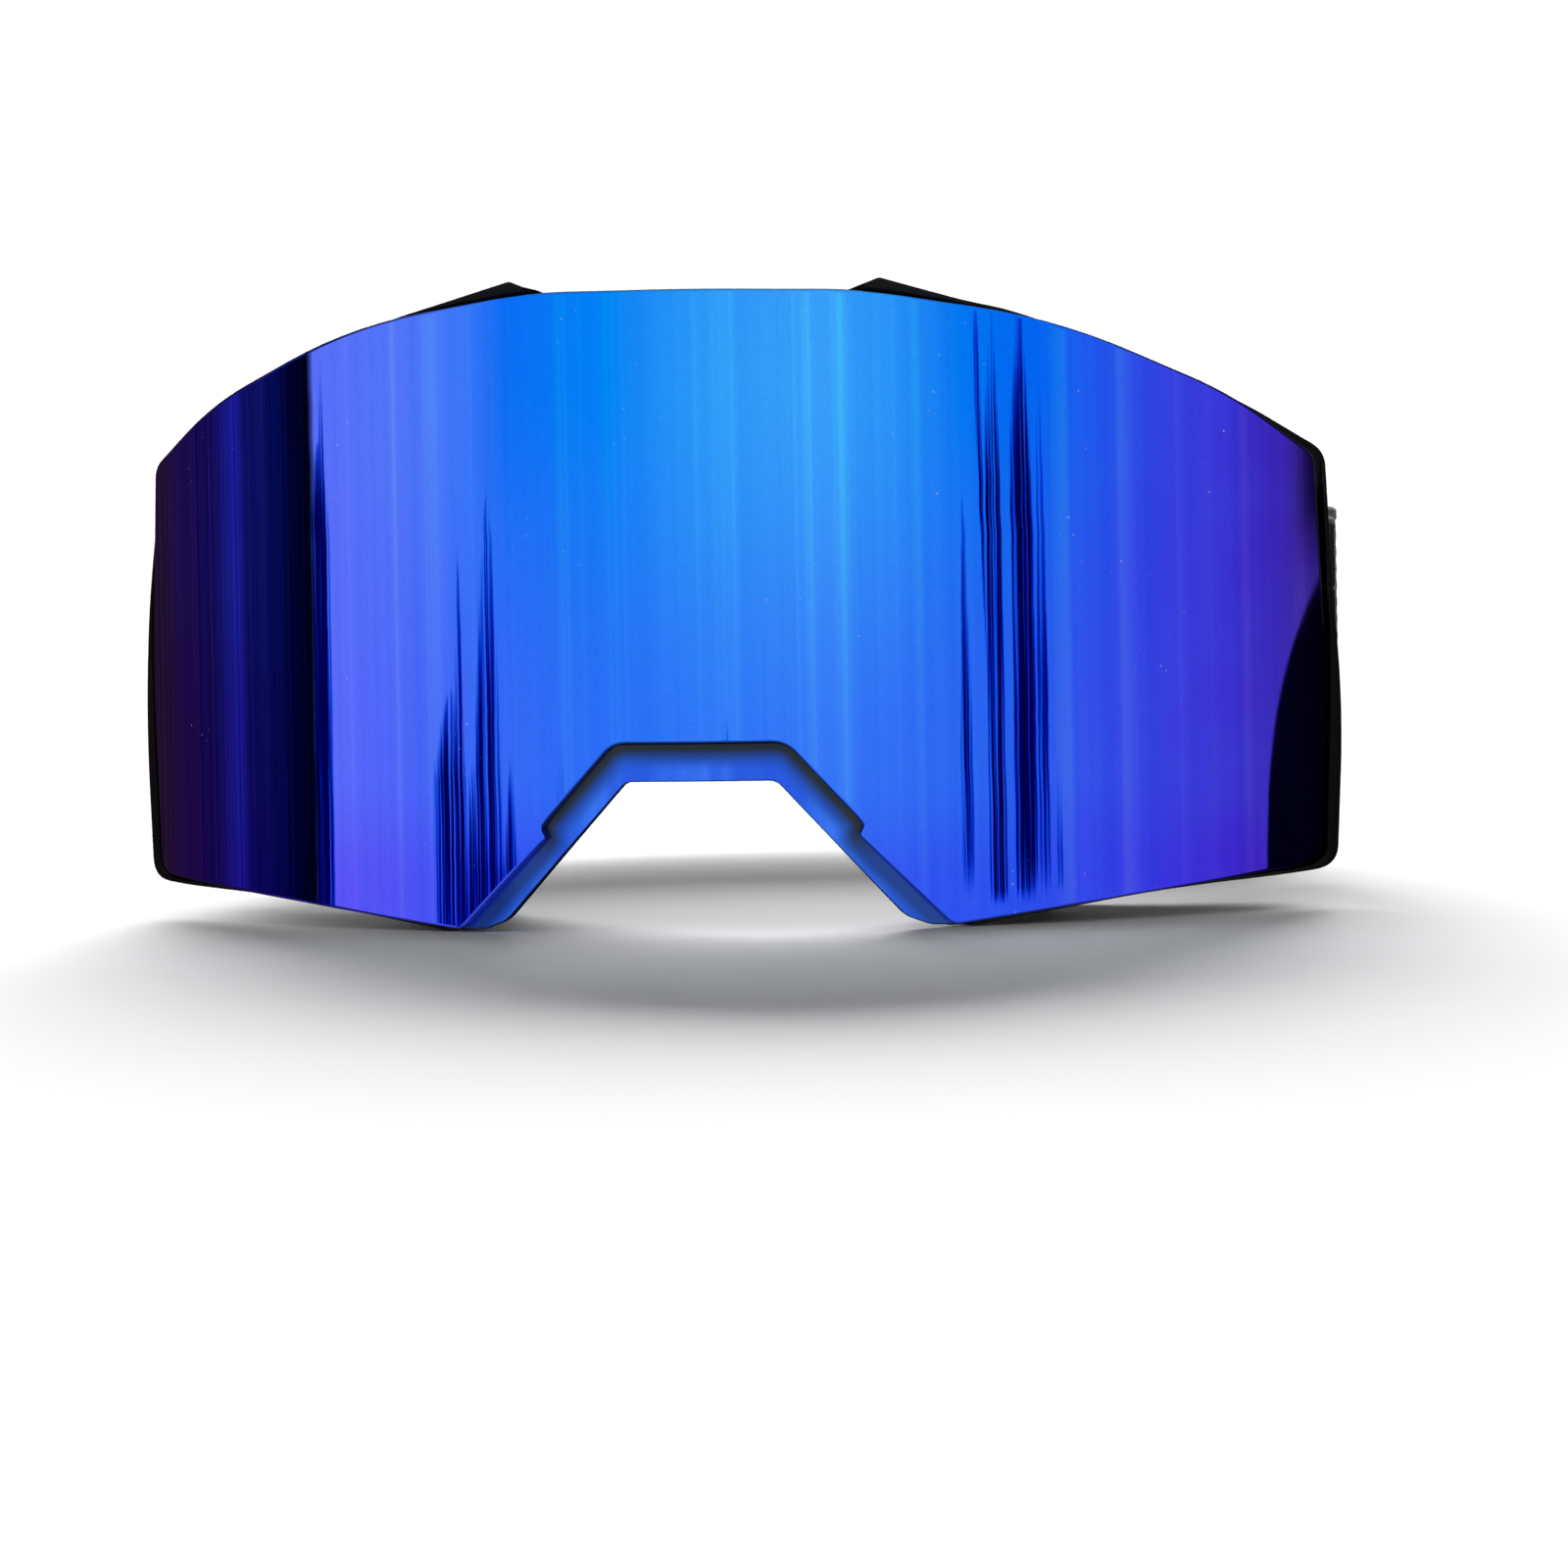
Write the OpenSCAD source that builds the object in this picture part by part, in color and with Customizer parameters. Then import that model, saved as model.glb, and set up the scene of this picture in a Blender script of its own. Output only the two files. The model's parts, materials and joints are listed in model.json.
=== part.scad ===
// Ski goggles: a frameless cylindrical double lens that lifts off on magnets, a rigid rim,
// a soft face shell with three foam layers, and an elastic strap on two swinging outriggers.
// X runs to the wearer's left, Y from the lens to the back of the strap, Z up from the table.

/* [Face] */
// Width of the rim across the face
face_w = 185; // [182:0.5:188]
// Height of the rim, from the cheek lobes to the top corners
face_h = 99.6; // [98:0.2:102]

/* [Lens] */
// Radius of the upright cylinder that the lens front follows
lens_r = 108; // [107:0.5:110]
// Thickness of the outer lens
outer_lens_t = 1.8; // [1.6:0.1:2]
// Thickness of the inner lens
inner_lens_t = 0.8; // [0.6:0.1:1]
// Air gap between the two lenses, which the gasket fills at the edge
lens_gap = 2; // [1.8:0.1:2.2]
// Clearance round the edge of the lens inside the rim's lip
lens_clearance = 0.25; // [0.2:0.05:0.35]
// Radius of each magnet
magnet_r = 2; // [1.5:0.25:2]

/* [Frame and foam] */
// Depth of the rim's base along the lens radius
rim_t = 4; // [3.5:0.25:4.5]
// Wall of the soft face shell
shell_t = 1.8; // [1.5:0.1:2.2]
// Width of the foam against the face
foam_w = 12; // [10:1:13]
// Thickness of the firm foam
foam_base_t = 10; // [8:1:11]
// Thickness of the soft foam
foam_comfort_t = 7; // [5:1:8]
// Thickness of the fleece
fleece_t = 2; // [1:0.5:2.5]

/* [Strap] */
// Width of the strap
strap_w = 40; // [36:1:42]
// Thickness of the strap
strap_t = 1.8; // [1.5:0.1:2]
// Height of the strap's middle above the table
strap_z = 37; // [35:1:44]
// Distance from the lens front to the middle of the strap's back
strap_back_y = 228; // [215:1:235]
// Angle at which the strap leans in from the outriggers
strap_lean = 8; // [6:1:9]
// Number of silicone grip lines inside the back of the strap
grip_lines = 4; // [2:1:6]

/* [Outrigger] */
// Hinge axis, sideways from the middle
hinge_x = 86.2; // [86:0.1:86.6]
// Hinge axis, back from the lens front
hinge_y = 79.6; // [79:0.1:81]
// Radius of the hinge pin
pin_r = 1.2; // [1:0.1:1.4]
// Running clearance of the hinge pin in its bores
pin_play = 0.05; // [0.02:0.01:0.08]
// Distance from the hinge axis to the strap bar
bar_a = 18.5; // [18:0.5:20]
// Distance from the hinge axis to the slider at rest
slider_a = 48.5; // [46:0.5:52]

/* [Hidden] */

mirror_blue = [0.05, 0.3, 0.95];
clear_grey = [0.55, 0.6, 0.65, 0.5];
rim_black = [0.03, 0.03, 0.035];
soft_black = [0.06, 0.06, 0.065];
foam_grey = [0.16, 0.16, 0.17];
fleece_black = [0.09, 0.09, 0.1];
strap_black = [0.05, 0.05, 0.06];
grip_grey = [0.3, 0.32, 0.35];
steel = [0.7, 0.7, 0.72];

overall_d = strap_back_y + strap_t / 2;
wall_fn = 180;
round_fn = 48;

// Radii of the layers about the lens axis, from the front backwards
lens_back_r = lens_r - outer_lens_t;
flange_back_r = lens_back_r - lens_gap;
inner_back_r = flange_back_r - inner_lens_t;
carrier_back_r = flange_back_r - 0.4;
rim_front_r = carrier_back_r - 0.3;
rim_back_r = rim_front_r - rim_t;
lip_front_r = lens_r - 0.6;
lip_back_r = rim_back_r + 2;
base_front_r = lip_back_r + 1;

// Insets from the lens edge
carrier_edge = 0.8;
rim_opening = 7.5;
carrier_inner = rim_opening + 0.5;
pane_edge = rim_opening + 0.7;
gasket_w = 2.5;
carrier_nose_gap = 2;

magnet_t = 1.4;
magnet_recess = 0.1;
pocket_extra = 1;
flange_t = 2;

// Face curve: the rear of the shell and each foam layer stand on upright cylinders
face_r = 95;
face_y = 34;
comfort_r = face_r - 2;
fleece_r = comfort_r - 2;
back_r = fleece_r - 0.5;
base_y = face_y + flange_t;
comfort_y = base_y + foam_base_t;
fleece_y = comfort_y + foam_comfort_t;
back_y = fleece_y + fleece_t;
outer_shrink = 1.5;
inner_shrink = 0.5;

// Strap hardware, in the outrigger's own frame: across, along from the hinge, up
bar_r = 1.7;
wrap_r = bar_r + 0.2 + strap_t / 2;
rail_in = strap_w / 2 + 0.6;
rail_out = rail_in + 3.4;
plate_t = 3;
barrel_r = 3;
knuckle_half = 10;
knuckle_gap = 0.3;
bracket_half = strap_w / 2;
slot_start = 13.3;
straight_a = 78;
split_t = 0.15;
split_gap_t = 0.003;
strap_pull = 48;
slider_half = 7;
slider_bar_r = 1.1;
slider_bar_b = 1.6;
fold_r = slider_bar_r + 0.2 + strap_t / 2;
keeper_r = 0.9;
keeper_a = 5.6;
keeper_b = -wrap_r - strap_t / 2 - 0.3 - keeper_r;

// Corners of each outline on the face, right half from the top down: x, z, corner radius.
// They are laid out on a face 185 wide and 99.6 high, and stretch with it.
function stretched(half) = [for (p = half) [p[0] * face_w / 185, p[1] * face_h / 99.6, p[2]]];
function mirrored(half) = concat(half,
    [for (i = [len(half) - 1:-1:0]) if (half[i][0] > 0) [-half[i][0], half[i][1], half[i][2]]]);
function outline(half) = mirrored(stretched(half));

rim_corners = outline([[22.5, 97.3, 1.5], [28.5, 99.6, 1.2], [54.8, 92.7, 110], [78.7, 79.9, 75],
    [89.9, 69.5, 5], [92.5, 31, 200], [91.6, 5.8, 3.5], [41, 0, 2.5], [35.2, 0, 2.5], [13.2, 24.9, 2.5]]);
base_corners = outline([[21.5, 96.4, 2], [28, 98.6, 2], [54.2, 91.8, 110], [77.4, 78.9, 60],
    [86.6, 68.3, 6], [89.2, 33, 200], [88.4, 7.6, 4], [42, 0.8, 3], [36, 0.8, 2.5], [14, 25.8, 3]]);

lens_upper = [[0, 98.4, 400], [26, 97.9, 80], [54.8, 91.9, 110], [78.5, 79.1, 75], [88.9, 69, 4],
    [90.6, 35, 200], [89.8, 6.8, 3], [37, 0.8, 2.5]];
nose_step = [[24.2, 14.4, 0.8], [25, 15.9, 0.8], [24, 17.2, 1]];
nose_top = [[13.4, 28.9, 5]];
lens_corners = outline(concat(lens_upper, nose_step, nose_top));
plain_corners = outline(concat(lens_upper, nose_top));

flange_outer = [[16.5, 33, 3], [28.5, 18.5, 8], [40.5, 1.2, 1]];
flange_corners = outline(concat(flange_outer,
    [[38, 0.4, 1], [33.2, 0.4, 2], [11.6, 23.4, 2.5]]));
nose_zone = outline(concat(flange_outer, [[43, -4, 1]]));

shell_front = outline([[21.5, 95.4, 2], [28, 97.4, 3], [54, 90.8, 110], [75.6, 78.4, 60], [84, 67.4, 8],
    [85.3, 38, 100], [84.4, 10.2, 4], [42.5, 1.8, 3], [36.5, 1.8, 2.5], [15, 26.8, 3]]);
shell_rear = outline([[12, 94.2, 20], [32, 94.4, 30], [54.5, 87.8, 60], [71, 77.5, 30], [78.6, 63, 18],
    [80, 38, 80], [76.8, 12.5, 14], [48, 0, 8], [38, 0, 5], [16, 31, 9]]);

// Flat outlines
function unit(v) = v / norm(v);
function flat(p) = [p[0], p[1]];
function lerp(a, b, t) = a + (b - a) * t;
function wrapped(list, i) = list[(i + len(list)) % len(list)];
function turn_angle(u, v) = atan2(u[0] * v[1] - u[1] * v[0], u * v);

// Length of the tangent from corner i to where its rounding starts
function tangent_at(c, i) =
    let (a = flat(wrapped(c, i - 1)), b = flat(c[i]), d = flat(wrapped(c, i + 1)),
         reach = 0.45 * min(norm(b - a), norm(d - b)),
         wanted = c[i][2] * tan(abs(turn_angle(b - a, d - b)) / 2))
    min(reach, max(0.4, wanted));

// A corner rounded by a parabola that touches both sides, in n steps
function corner_points(c, i, n) =
    let (b = flat(c[i]), t = tangent_at(c, i),
         p = b + unit(flat(wrapped(c, i - 1)) - b) * t,
         q = b + unit(flat(wrapped(c, i + 1)) - b) * t)
    [for (k = [0:n]) let (s = k / n) (1 - s) * (1 - s) * p + 2 * s * (1 - s) * b + s * s * q];

function rounded(c, n = 6) = [for (i = [0:len(c) - 1]) each corner_points(c, i, n)];

// The same outline with m points along each side too, so that loops of two outlines match
function even_loop(c, n = corner_steps, m = side_steps) =
    [for (i = [0:len(c) - 1])
        let (here = corner_points(c, i, n), next = corner_points(c, (i + 1) % len(c), n))
        each concat(here, [for (k = [1:m - 1]) lerp(here[n], next[0], k / m)])];

// Moves every side of a clockwise outline inwards by d
function inset(c, d) =
    [for (i = [0:len(c) - 1])
        let (b = flat(c[i]),
             u = unit(b - flat(wrapped(c, i - 1))),
             v = unit(flat(wrapped(c, i + 1)) - b),
             nu = [u[1], -u[0]],
             nv = [v[1], -v[0]],
             p = b + (nu + nv) * d / (1 + nu * nv),
             grow = turn_angle(u, v) < 0 ? -d : d)
        [p[0], p[1], max(0.4, c[i][2] + grow)]];

// Solids between loops of points
function quad_faces(i, j, k, l) = [[i, j, k], [i, k, l]];

// A closed ring: loops[k][i] joins loops[k + 1][i], and the last loop joins the first. The closing
// band is split along its other diagonal, so that it matches the band of the ring it lies on.
module ring_solid(loops) {
    count = len(loops);
    n = len(loops[0]);
    points = [for (l = loops) each l];
    faces = [for (k = [0:count - 1]) for (i = [0:n - 1])
        let (a = k * n, b = ((k + 1) % count) * n, j = (i + 1) % n)
        each k < count - 1 ? quad_faces(a + i, a + j, b + j, b + i)
                           : quad_faces(a + j, b + j, b + i, a + i)];
    polyhedron(points = points, faces = faces);
}

// An open length: each section is a closed loop of points, with an end cap on the first and last
module swept_solid(sections) {
    count = len(sections);
    n = len(sections[0]);
    points = [for (s = sections) each s];
    sides = [for (k = [0:count - 2]) for (i = [0:n - 1])
        let (a = k * n, b = (k + 1) * n, j = (i + 1) % n)
        each quad_faces(a + i, a + j, b + j, b + i)];
    first = [[for (i = [n - 1:-1:0]) i]];
    last = [[for (i = [0:n - 1]) (count - 1) * n + i]];
    polyhedron(points = points, faces = concat(sides, first, last));
}

// Everything is drawn with the lens front at y = 0, then moved so that the middle is at the origin
module centred() translate([0, -overall_d / 2, 0]) children();

module on_side(side) {
    if (side > 0) children();
    else mirror([1, 0, 0]) children();
}

module prism(corners)
    rotate([90, 0, 0])
        translate([0, 0, -lens_r * 0.75])
            linear_extrude(lens_r * 0.75 + 10) polygon(rounded(corners));

module curved_wall(r_in, r_out)
    translate([0, lens_r, -15])
        difference() {
            cylinder(r = r_out, h = face_h + 30, $fn = wall_fn);
            translate([0, 0, -1]) cylinder(r = r_in, h = face_h + 32, $fn = wall_fn);
        }

module curved_plate(corners, r_in, r_out)
    intersection() {
        prism(corners);
        curved_wall(r_in, r_out);
    }

module curved_ring(outer, inner, r_in, r_out)
    intersection() {
        difference() {
            prism(outer);
            prism(inner);
        }
        curved_wall(r_in, r_out);
    }

// Puts a child at radius r on the outward radius that passes x at axis_r, with its own Z along it
module on_lens(x, z, axis_r, r)
    translate([0, lens_r, z])
        rotate([0, 0, asin(x / axis_r)])
            translate([0, -r, 0])
                rotate([90, 0, 0]) children();

magnet_places = [for (p = [[22, 93.1], [55, 87.1], [85.2, 58], [85.8, 23], [62, 7.9]])
    [p[0] * face_w / 185, p[1] * face_h / 99.6]];

// A magnet or its pocket at every place: axis_r is where the places are measured, r_in the inner end
module magnets(axis_r, r_in, h = magnet_t)
    for (side = [-1, 1])
        for (p = magnet_places)
            on_lens(side * p[0], p[1], axis_r, r_in) cylinder(r = magnet_r, h = h, $fn = round_fn);

// Lens assembly
module outer_lens()
    color(mirror_blue)
        centred() curved_plate(lens_corners, lens_back_r, lens_r);

module inner_lens()
    color(clear_grey)
        centred() curved_plate(inset(plain_corners, pane_edge), inner_back_r, flange_back_r);

module lens_gasket()
    color(soft_black)
        centred() curved_ring(inset(plain_corners, pane_edge), inset(plain_corners, pane_edge + gasket_w),
                              flange_back_r, lens_back_r);

module lens_carrier()
    color(rim_black)
        centred() difference() {
            curved_ring(inset(plain_corners, carrier_edge), inset(plain_corners, carrier_inner),
                        carrier_back_r, lens_back_r);
            prism(inset(nose_zone, -carrier_nose_gap));
            magnets(carrier_back_r, carrier_back_r - pocket_extra,
                    magnet_t + magnet_recess + pocket_extra);
        }

module nose_flange()
    color(mirror_blue)
        centred() curved_plate(flange_corners, flange_back_r, lens_back_r);

module carrier_magnets()
    color(steel)
        centred() magnets(carrier_back_r, carrier_back_r + magnet_recess);

// Rim: a wide front with the lip that the lens sits in, on a narrower base
frame_magnet_r = rim_front_r - magnet_recess - magnet_t;

module frame_rim()
    color(rim_black)
        centred() difference() {
            union() {
                curved_plate(rim_corners, lip_back_r, lip_front_r);
                curved_plate(base_corners, rim_back_r, base_front_r);
            }
            prism(inset(plain_corners, rim_opening));
            curved_plate(inset(plain_corners, -lens_clearance), rim_front_r, lens_r + 2);
            curved_plate(inset(nose_zone, -lens_clearance), rim_front_r, lens_r + 2);
            magnets(frame_magnet_r, frame_magnet_r, magnet_t + magnet_recess + pocket_extra);
        }

module frame_magnets()
    color(steel)
        centred() magnets(frame_magnet_r, frame_magnet_r);

// Face shell: a ruled wall from the rim's back to the face curve
function on_cylinder(points, r, y) = [for (p = points) [p[0], y + r - sqrt(r * r - p[0] * p[0]), p[1]]];
function front_loop(d) = on_cylinder(even_loop(inset(shell_front, d)), rim_back_r, lens_r - rim_back_r);
function face_loop(d, r, y) = on_cylinder(even_loop(inset(shell_rear, d)), r, y);
function wall_loop(d, s) =
    let (front = front_loop(d), rear = face_loop(d, face_r, face_y))
    [for (i = [0:len(front) - 1]) lerp(front[i], rear[i], s)];

function wall_mid_y(x) = (lens_r - sqrt(rim_back_r * rim_back_r - x * x)
    + face_y + face_r - sqrt(face_r * face_r - x * x)) / 2;
function wall_slope(x) = wall_mid_y(x + 1) - wall_mid_y(x - 1);

vent_l = 15;
vent_w = 5;
top_vents = [-44, -22, 0, 22, 44];
bottom_vents = [50, 69];
vent_foam_gap = 0.5;
vent_foam_t = 2;

// Steps of even_loop along a rounded corner and along a side, and where the foam strips run
corner_steps = 4;
side_steps = 4;
top_strip_end = 2 * (corner_steps + side_steps) + corner_steps;
bottom_strip_start = 6 * (corner_steps + side_steps) + corner_steps;

module vent_slot(x, z_low, z_high)
    translate([x, wall_mid_y(x), z_low])
        rotate([0, 0, atan(wall_slope(x) / 2)]) {
            for (end = [-1, 1])
                translate([end * (vent_l - vent_w) / 2, 0, 0])
                    cylinder(d = vent_w, h = z_high - z_low, $fn = 24);
            translate([-(vent_l - vent_w) / 2, -vent_w / 2, 0])
                cube([vent_l - vent_w, vent_w, z_high - z_low]);
        }

module face_shell()
    color(soft_black)
        centred() difference() {
            ring_solid([wall_loop(0, 0), wall_loop(0, 0.5), wall_loop(0, 1), face_loop(0, face_r, base_y),
                face_loop(foam_w, face_r, base_y), face_loop(foam_w, face_r, face_y),
                wall_loop(shell_t, 1), wall_loop(shell_t, 0.5), wall_loop(shell_t, 0)]);
            for (x = top_vents) vent_slot(x, 60, 110);
            for (side = [-1, 1])
                for (x = bottom_vents) vent_slot(side * x, -10, 40);
        }

// Strips of open foam inside the vents: a run of the wall, between two depths and two insets
function wall_section(i, inner, outer, s_front, s_rear) =
    [wrapped(wall_loop(outer, s_front), i), wrapped(wall_loop(outer, s_rear), i),
     wrapped(wall_loop(inner, s_rear), i), wrapped(wall_loop(inner, s_front), i)];

module vent_strip(first, last)
    swept_solid([for (i = [first:last])
        wall_section(i, shell_t + vent_foam_gap + vent_foam_t, shell_t + vent_foam_gap, 0.22, 0.78)]);

module vent_foam_top()
    color(foam_grey)
        centred() vent_strip(-top_strip_end - side_steps, top_strip_end);

module bottom_strip(side)
    color(foam_grey)
        centred() on_side(side) vent_strip(bottom_strip_start, bottom_strip_start + side_steps);

module vent_foam_bottom_left() bottom_strip(1);
module vent_foam_bottom_right() bottom_strip(-1);

// Foam layers, each standing on the whole of the one before
module foam_layer(k, r_front, y_front, r_rear, y_rear)
    ring_solid([face_loop(k * outer_shrink, r_front, y_front),
        face_loop((k + 1) * outer_shrink, r_rear, y_rear),
        face_loop(foam_w + (k + 1) * inner_shrink, r_rear, y_rear),
        face_loop(foam_w + k * inner_shrink, r_front, y_front)]);

module foam_base()
    color(foam_grey)
        centred() foam_layer(0, face_r, base_y, comfort_r, comfort_y);

module foam_comfort()
    color(foam_grey)
        centred() foam_layer(1, comfort_r, comfort_y, fleece_r, fleece_y);

module face_fleece()
    color(fleece_black)
        centred() foam_layer(2, fleece_r, fleece_y, back_r, back_y);

// Outrigger frame: X outwards, Y back along the strap from the hinge axis, Z up from mid strap
module at_hinge() translate([hinge_x, hinge_y, strap_z]) rotate([0, 0, strap_lean]) children();
function from_hinge(b, a) = [hinge_x + b * cos(strap_lean) - a * sin(strap_lean),
                             hinge_y + b * sin(strap_lean) + a * cos(strap_lean)];

bracket_in = hinge_x - 0.2;
bracket_out = hinge_x + 2.9;
bracket_end = hinge_y - 4.5;

module bracket(side)
    color(rim_black)
        centred() on_side(side) difference() {
            union() {
                translate([0, 0, strap_z - bracket_half])
                    linear_extrude(2 * bracket_half)
                        polygon([[bracket_in, 45], [bracket_out, 45], [bracket_out, bracket_end],
                                 [bracket_in, bracket_end]]);
                for (end = [-1, 1])
                    at_hinge()
                        translate([0, 0, end * (bracket_half + knuckle_half + knuckle_gap) / 2])
                            knuckle_block(bracket_half - knuckle_half - knuckle_gap);
            }
            bracket_trim();
            at_hinge() hinge_bore();
        }

// Cuts the bracket to the back of the rim
module bracket_trim()
    difference() {
        translate([0, 0, strap_z - bracket_half - 1]) cube([100, lens_r, 2 * bracket_half + 2]);
        translate([0, lens_r, strap_z - bracket_half - 2])
            cylinder(r = rim_back_r, h = 2 * bracket_half + 4, $fn = wall_fn);
    }

// A knuckle of the given height with a neck that runs forward into the bracket
module knuckle_block(h) {
    translate([0, 0, -h / 2]) cylinder(r = barrel_r, h = h, $fn = round_fn);
    translate([-0.7, -7, -h / 2 + 0.2]) cube([2.3, 7, h - 0.4]);
}

module hinge_bore()
    translate([0, 0, -bracket_half - 5])
        cylinder(r = pin_r + pin_play, h = 2 * bracket_half + 10, $fn = round_fn);

module bracket_left() bracket(1);
module bracket_right() bracket(-1);

module hinge_pin(side)
    color(steel)
        centred() on_side(side) at_hinge() {
            translate([0, 0, -bracket_half]) cylinder(r = pin_r, h = 2 * bracket_half + 0.5, $fn = round_fn);
            translate([0, 0, bracket_half + 0.1]) cylinder(r = pin_r + 0.9, h = 1.2, $fn = round_fn);
        }

module hinge_pin_left() hinge_pin(1);
module hinge_pin_right() hinge_pin(-1);

// Outrigger: a plate that widens from the middle knuckle to the strap slot and its bar
outrigger_points = [[-1, -8], [4, -8], [9, -rail_out], [slot_start, -rail_out],
                    [slot_start, rail_out], [9, rail_out], [4, 8], [-1, 8]];

module outrigger(side)
    color(rim_black)
        centred() on_side(side) at_hinge() difference() {
            union() {
                translate([-plate_t / 2, 0, 0])
                    rotate([90, 0, 90]) linear_extrude(plate_t) polygon(outrigger_points);
                translate([0, 0, -knuckle_half]) cylinder(r = barrel_r, h = 2 * knuckle_half, $fn = round_fn);
                for (end = [-1, 1])
                    translate([-plate_t / 2, slot_start - 0.5, end * (rail_in + rail_out) / 2
                               - (rail_out - rail_in) / 2])
                        cube([plate_t, bar_a + bar_r - slot_start + 0.5, rail_out - rail_in]);
                translate([0, bar_a, -rail_out + 0.5]) cylinder(r = bar_r, h = 2 * rail_out - 1, $fn = round_fn);
            }
            hinge_bore();
        }

module outrigger_left() outrigger(1);
module outrigger_right() outrigger(-1);

// Slider: two side rails, the bar that the strap's end is sewn round, and two keeper bars
module slider(side)
    color(rim_black)
        centred() on_side(side) at_hinge() translate([0, slider_a, 0]) {
            for (end = [-1, 1])
                translate([keeper_b - keeper_r, -slider_half, end * (rail_in + 1.4) - 1.4])
                    cube([slider_bar_b + slider_bar_r - keeper_b + keeper_r, 2 * slider_half, 2.8]);
            translate([slider_bar_b, 0, -rail_in - 1]) cylinder(r = slider_bar_r, h = 2 * rail_in + 2, $fn = round_fn);
            for (end = [-1, 1])
                translate([keeper_b, end * keeper_a, -rail_in - 1])
                    cylinder(r = keeper_r, h = 2 * rail_in + 2, $fn = round_fn);
        }

module slider_left() slider(1);
module slider_right() slider(-1);

// Strap: a ribbon of constant thickness along a path seen from above
function path_way(path, i) =
    unit(path[min(i + 1, len(path) - 1)] - path[max(i - 1, 0)]);
function shifted(path, d) =
    [for (i = [0:len(path) - 1]) let (w = path_way(path, i)) path[i] + [-w[1], w[0]] * d];
function ribbon(path, low, high) =
    let (n = len(path), far = shifted(path, high))
    concat(shifted(path, low), [for (i = [n - 1:-1:0]) far[i]]);

module strap_piece(path, low = -strap_t / 2, high = strap_t / 2, z = strap_z, h = strap_w)
    translate([0, 0, z - h / 2]) linear_extrude(h) polygon(ribbon(path, low, high));

function back_curve(t) =
    let (p0 = from_hinge(-wrap_r, straight_a),
         p1 = from_hinge(-wrap_r, straight_a + strap_pull),
         p2 = [strap_pull, strap_back_y],
         p3 = [0, strap_back_y])
    pow(1 - t, 3) * p0 + 3 * pow(1 - t, 2) * t * p1 + 3 * (1 - t) * t * t * p2 + t * t * t * p3;
function curve_run(from, to, n) = [for (k = [0:n]) back_curve(lerp(from, to, k / n))];
function both_sides(path) =
    concat(path, [for (i = [len(path) - 2:-1:0]) [-path[i][0], path[i][1]]]);

module strap_end(side)
    color(strap_black)
        centred() on_side(side)
            strap_piece(concat([from_hinge(-wrap_r, bar_a), from_hinge(-wrap_r, straight_a - 4)],
                               curve_run(0, split_t, 4)));

module strap_end_left() strap_end(1);
module strap_end_right() strap_end(-1);

// The strap round the outrigger's bar, back to the slider's bar, and its sewn tail
s_start = 2;
s_end = 15;
tail_l = 10;
tail_b = slider_bar_b - fold_r + strap_t + 0.05;

function arc(centre, r, a0, a1, n) =
    [for (k = [0:n]) let (a = lerp(a0, a1, k / n)) centre + r * [cos(a), sin(a)]];
function ease(t) = t * t * (3 - 2 * t);
loop_path = concat(
    arc([0, bar_a], wrap_r, 180, 360, 12),
    [for (k = [1:8]) let (t = k / 8)
        [lerp(wrap_r, slider_bar_b - fold_r, ease(t)), bar_a + lerp(s_start, s_end, t)]],
    arc([slider_bar_b, slider_a], fold_r, -180, -360, 10),
    [for (k = [1:6]) let (t = k / 6)
        [lerp(slider_bar_b + fold_r, tail_b, ease(min(1, t * 1.3))), slider_a - t * tail_l]]);

module strap_loop(side)
    color(strap_black)
        centred() on_side(side) at_hinge()
            strap_piece(loop_path, z = 0);

module strap_loop_left() strap_loop(1);
module strap_loop_right() strap_loop(-1);

band_steps = 20;
band_path = both_sides(curve_run(split_t + split_gap_t, 1, band_steps));

module strap_band()
    color(strap_black)
        centred() strap_piece(band_path);

grip_t = 0.4;
grip_h = 2;
grip_first = 11;
grip_last = len(band_path) - 1 - grip_first;

module strap_grip()
    color(grip_grey)
        centred()
            for (k = [0:grip_lines - 1])
                translate([0, 0, strap_z - grip_h / 2
                           + (k - (grip_lines - 1) / 2) * strap_w / (grip_lines + 1)])
                    linear_extrude(grip_h)
                        polygon(concat(
                            [for (i = [grip_first:grip_last]) shifted(band_path, strap_t / 2)[i]],
                            [for (i = [grip_last:-1:grip_first])
                                shifted(band_path, strap_t / 2 + grip_t)[i]]));

outer_lens();
inner_lens();
lens_gasket();
lens_carrier();
nose_flange();
carrier_magnets();
frame_rim();
frame_magnets();
face_shell();
vent_foam_top();
vent_foam_bottom_left();
vent_foam_bottom_right();
foam_base();
foam_comfort();
face_fleece();
bracket_left();
bracket_right();
hinge_pin_left();
hinge_pin_right();
outrigger_left();
outrigger_right();
slider_left();
slider_right();
strap_end_left();
strap_end_right();
strap_loop_left();
strap_loop_right();
strap_band();
strap_grip();
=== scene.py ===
import json
import math

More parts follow.
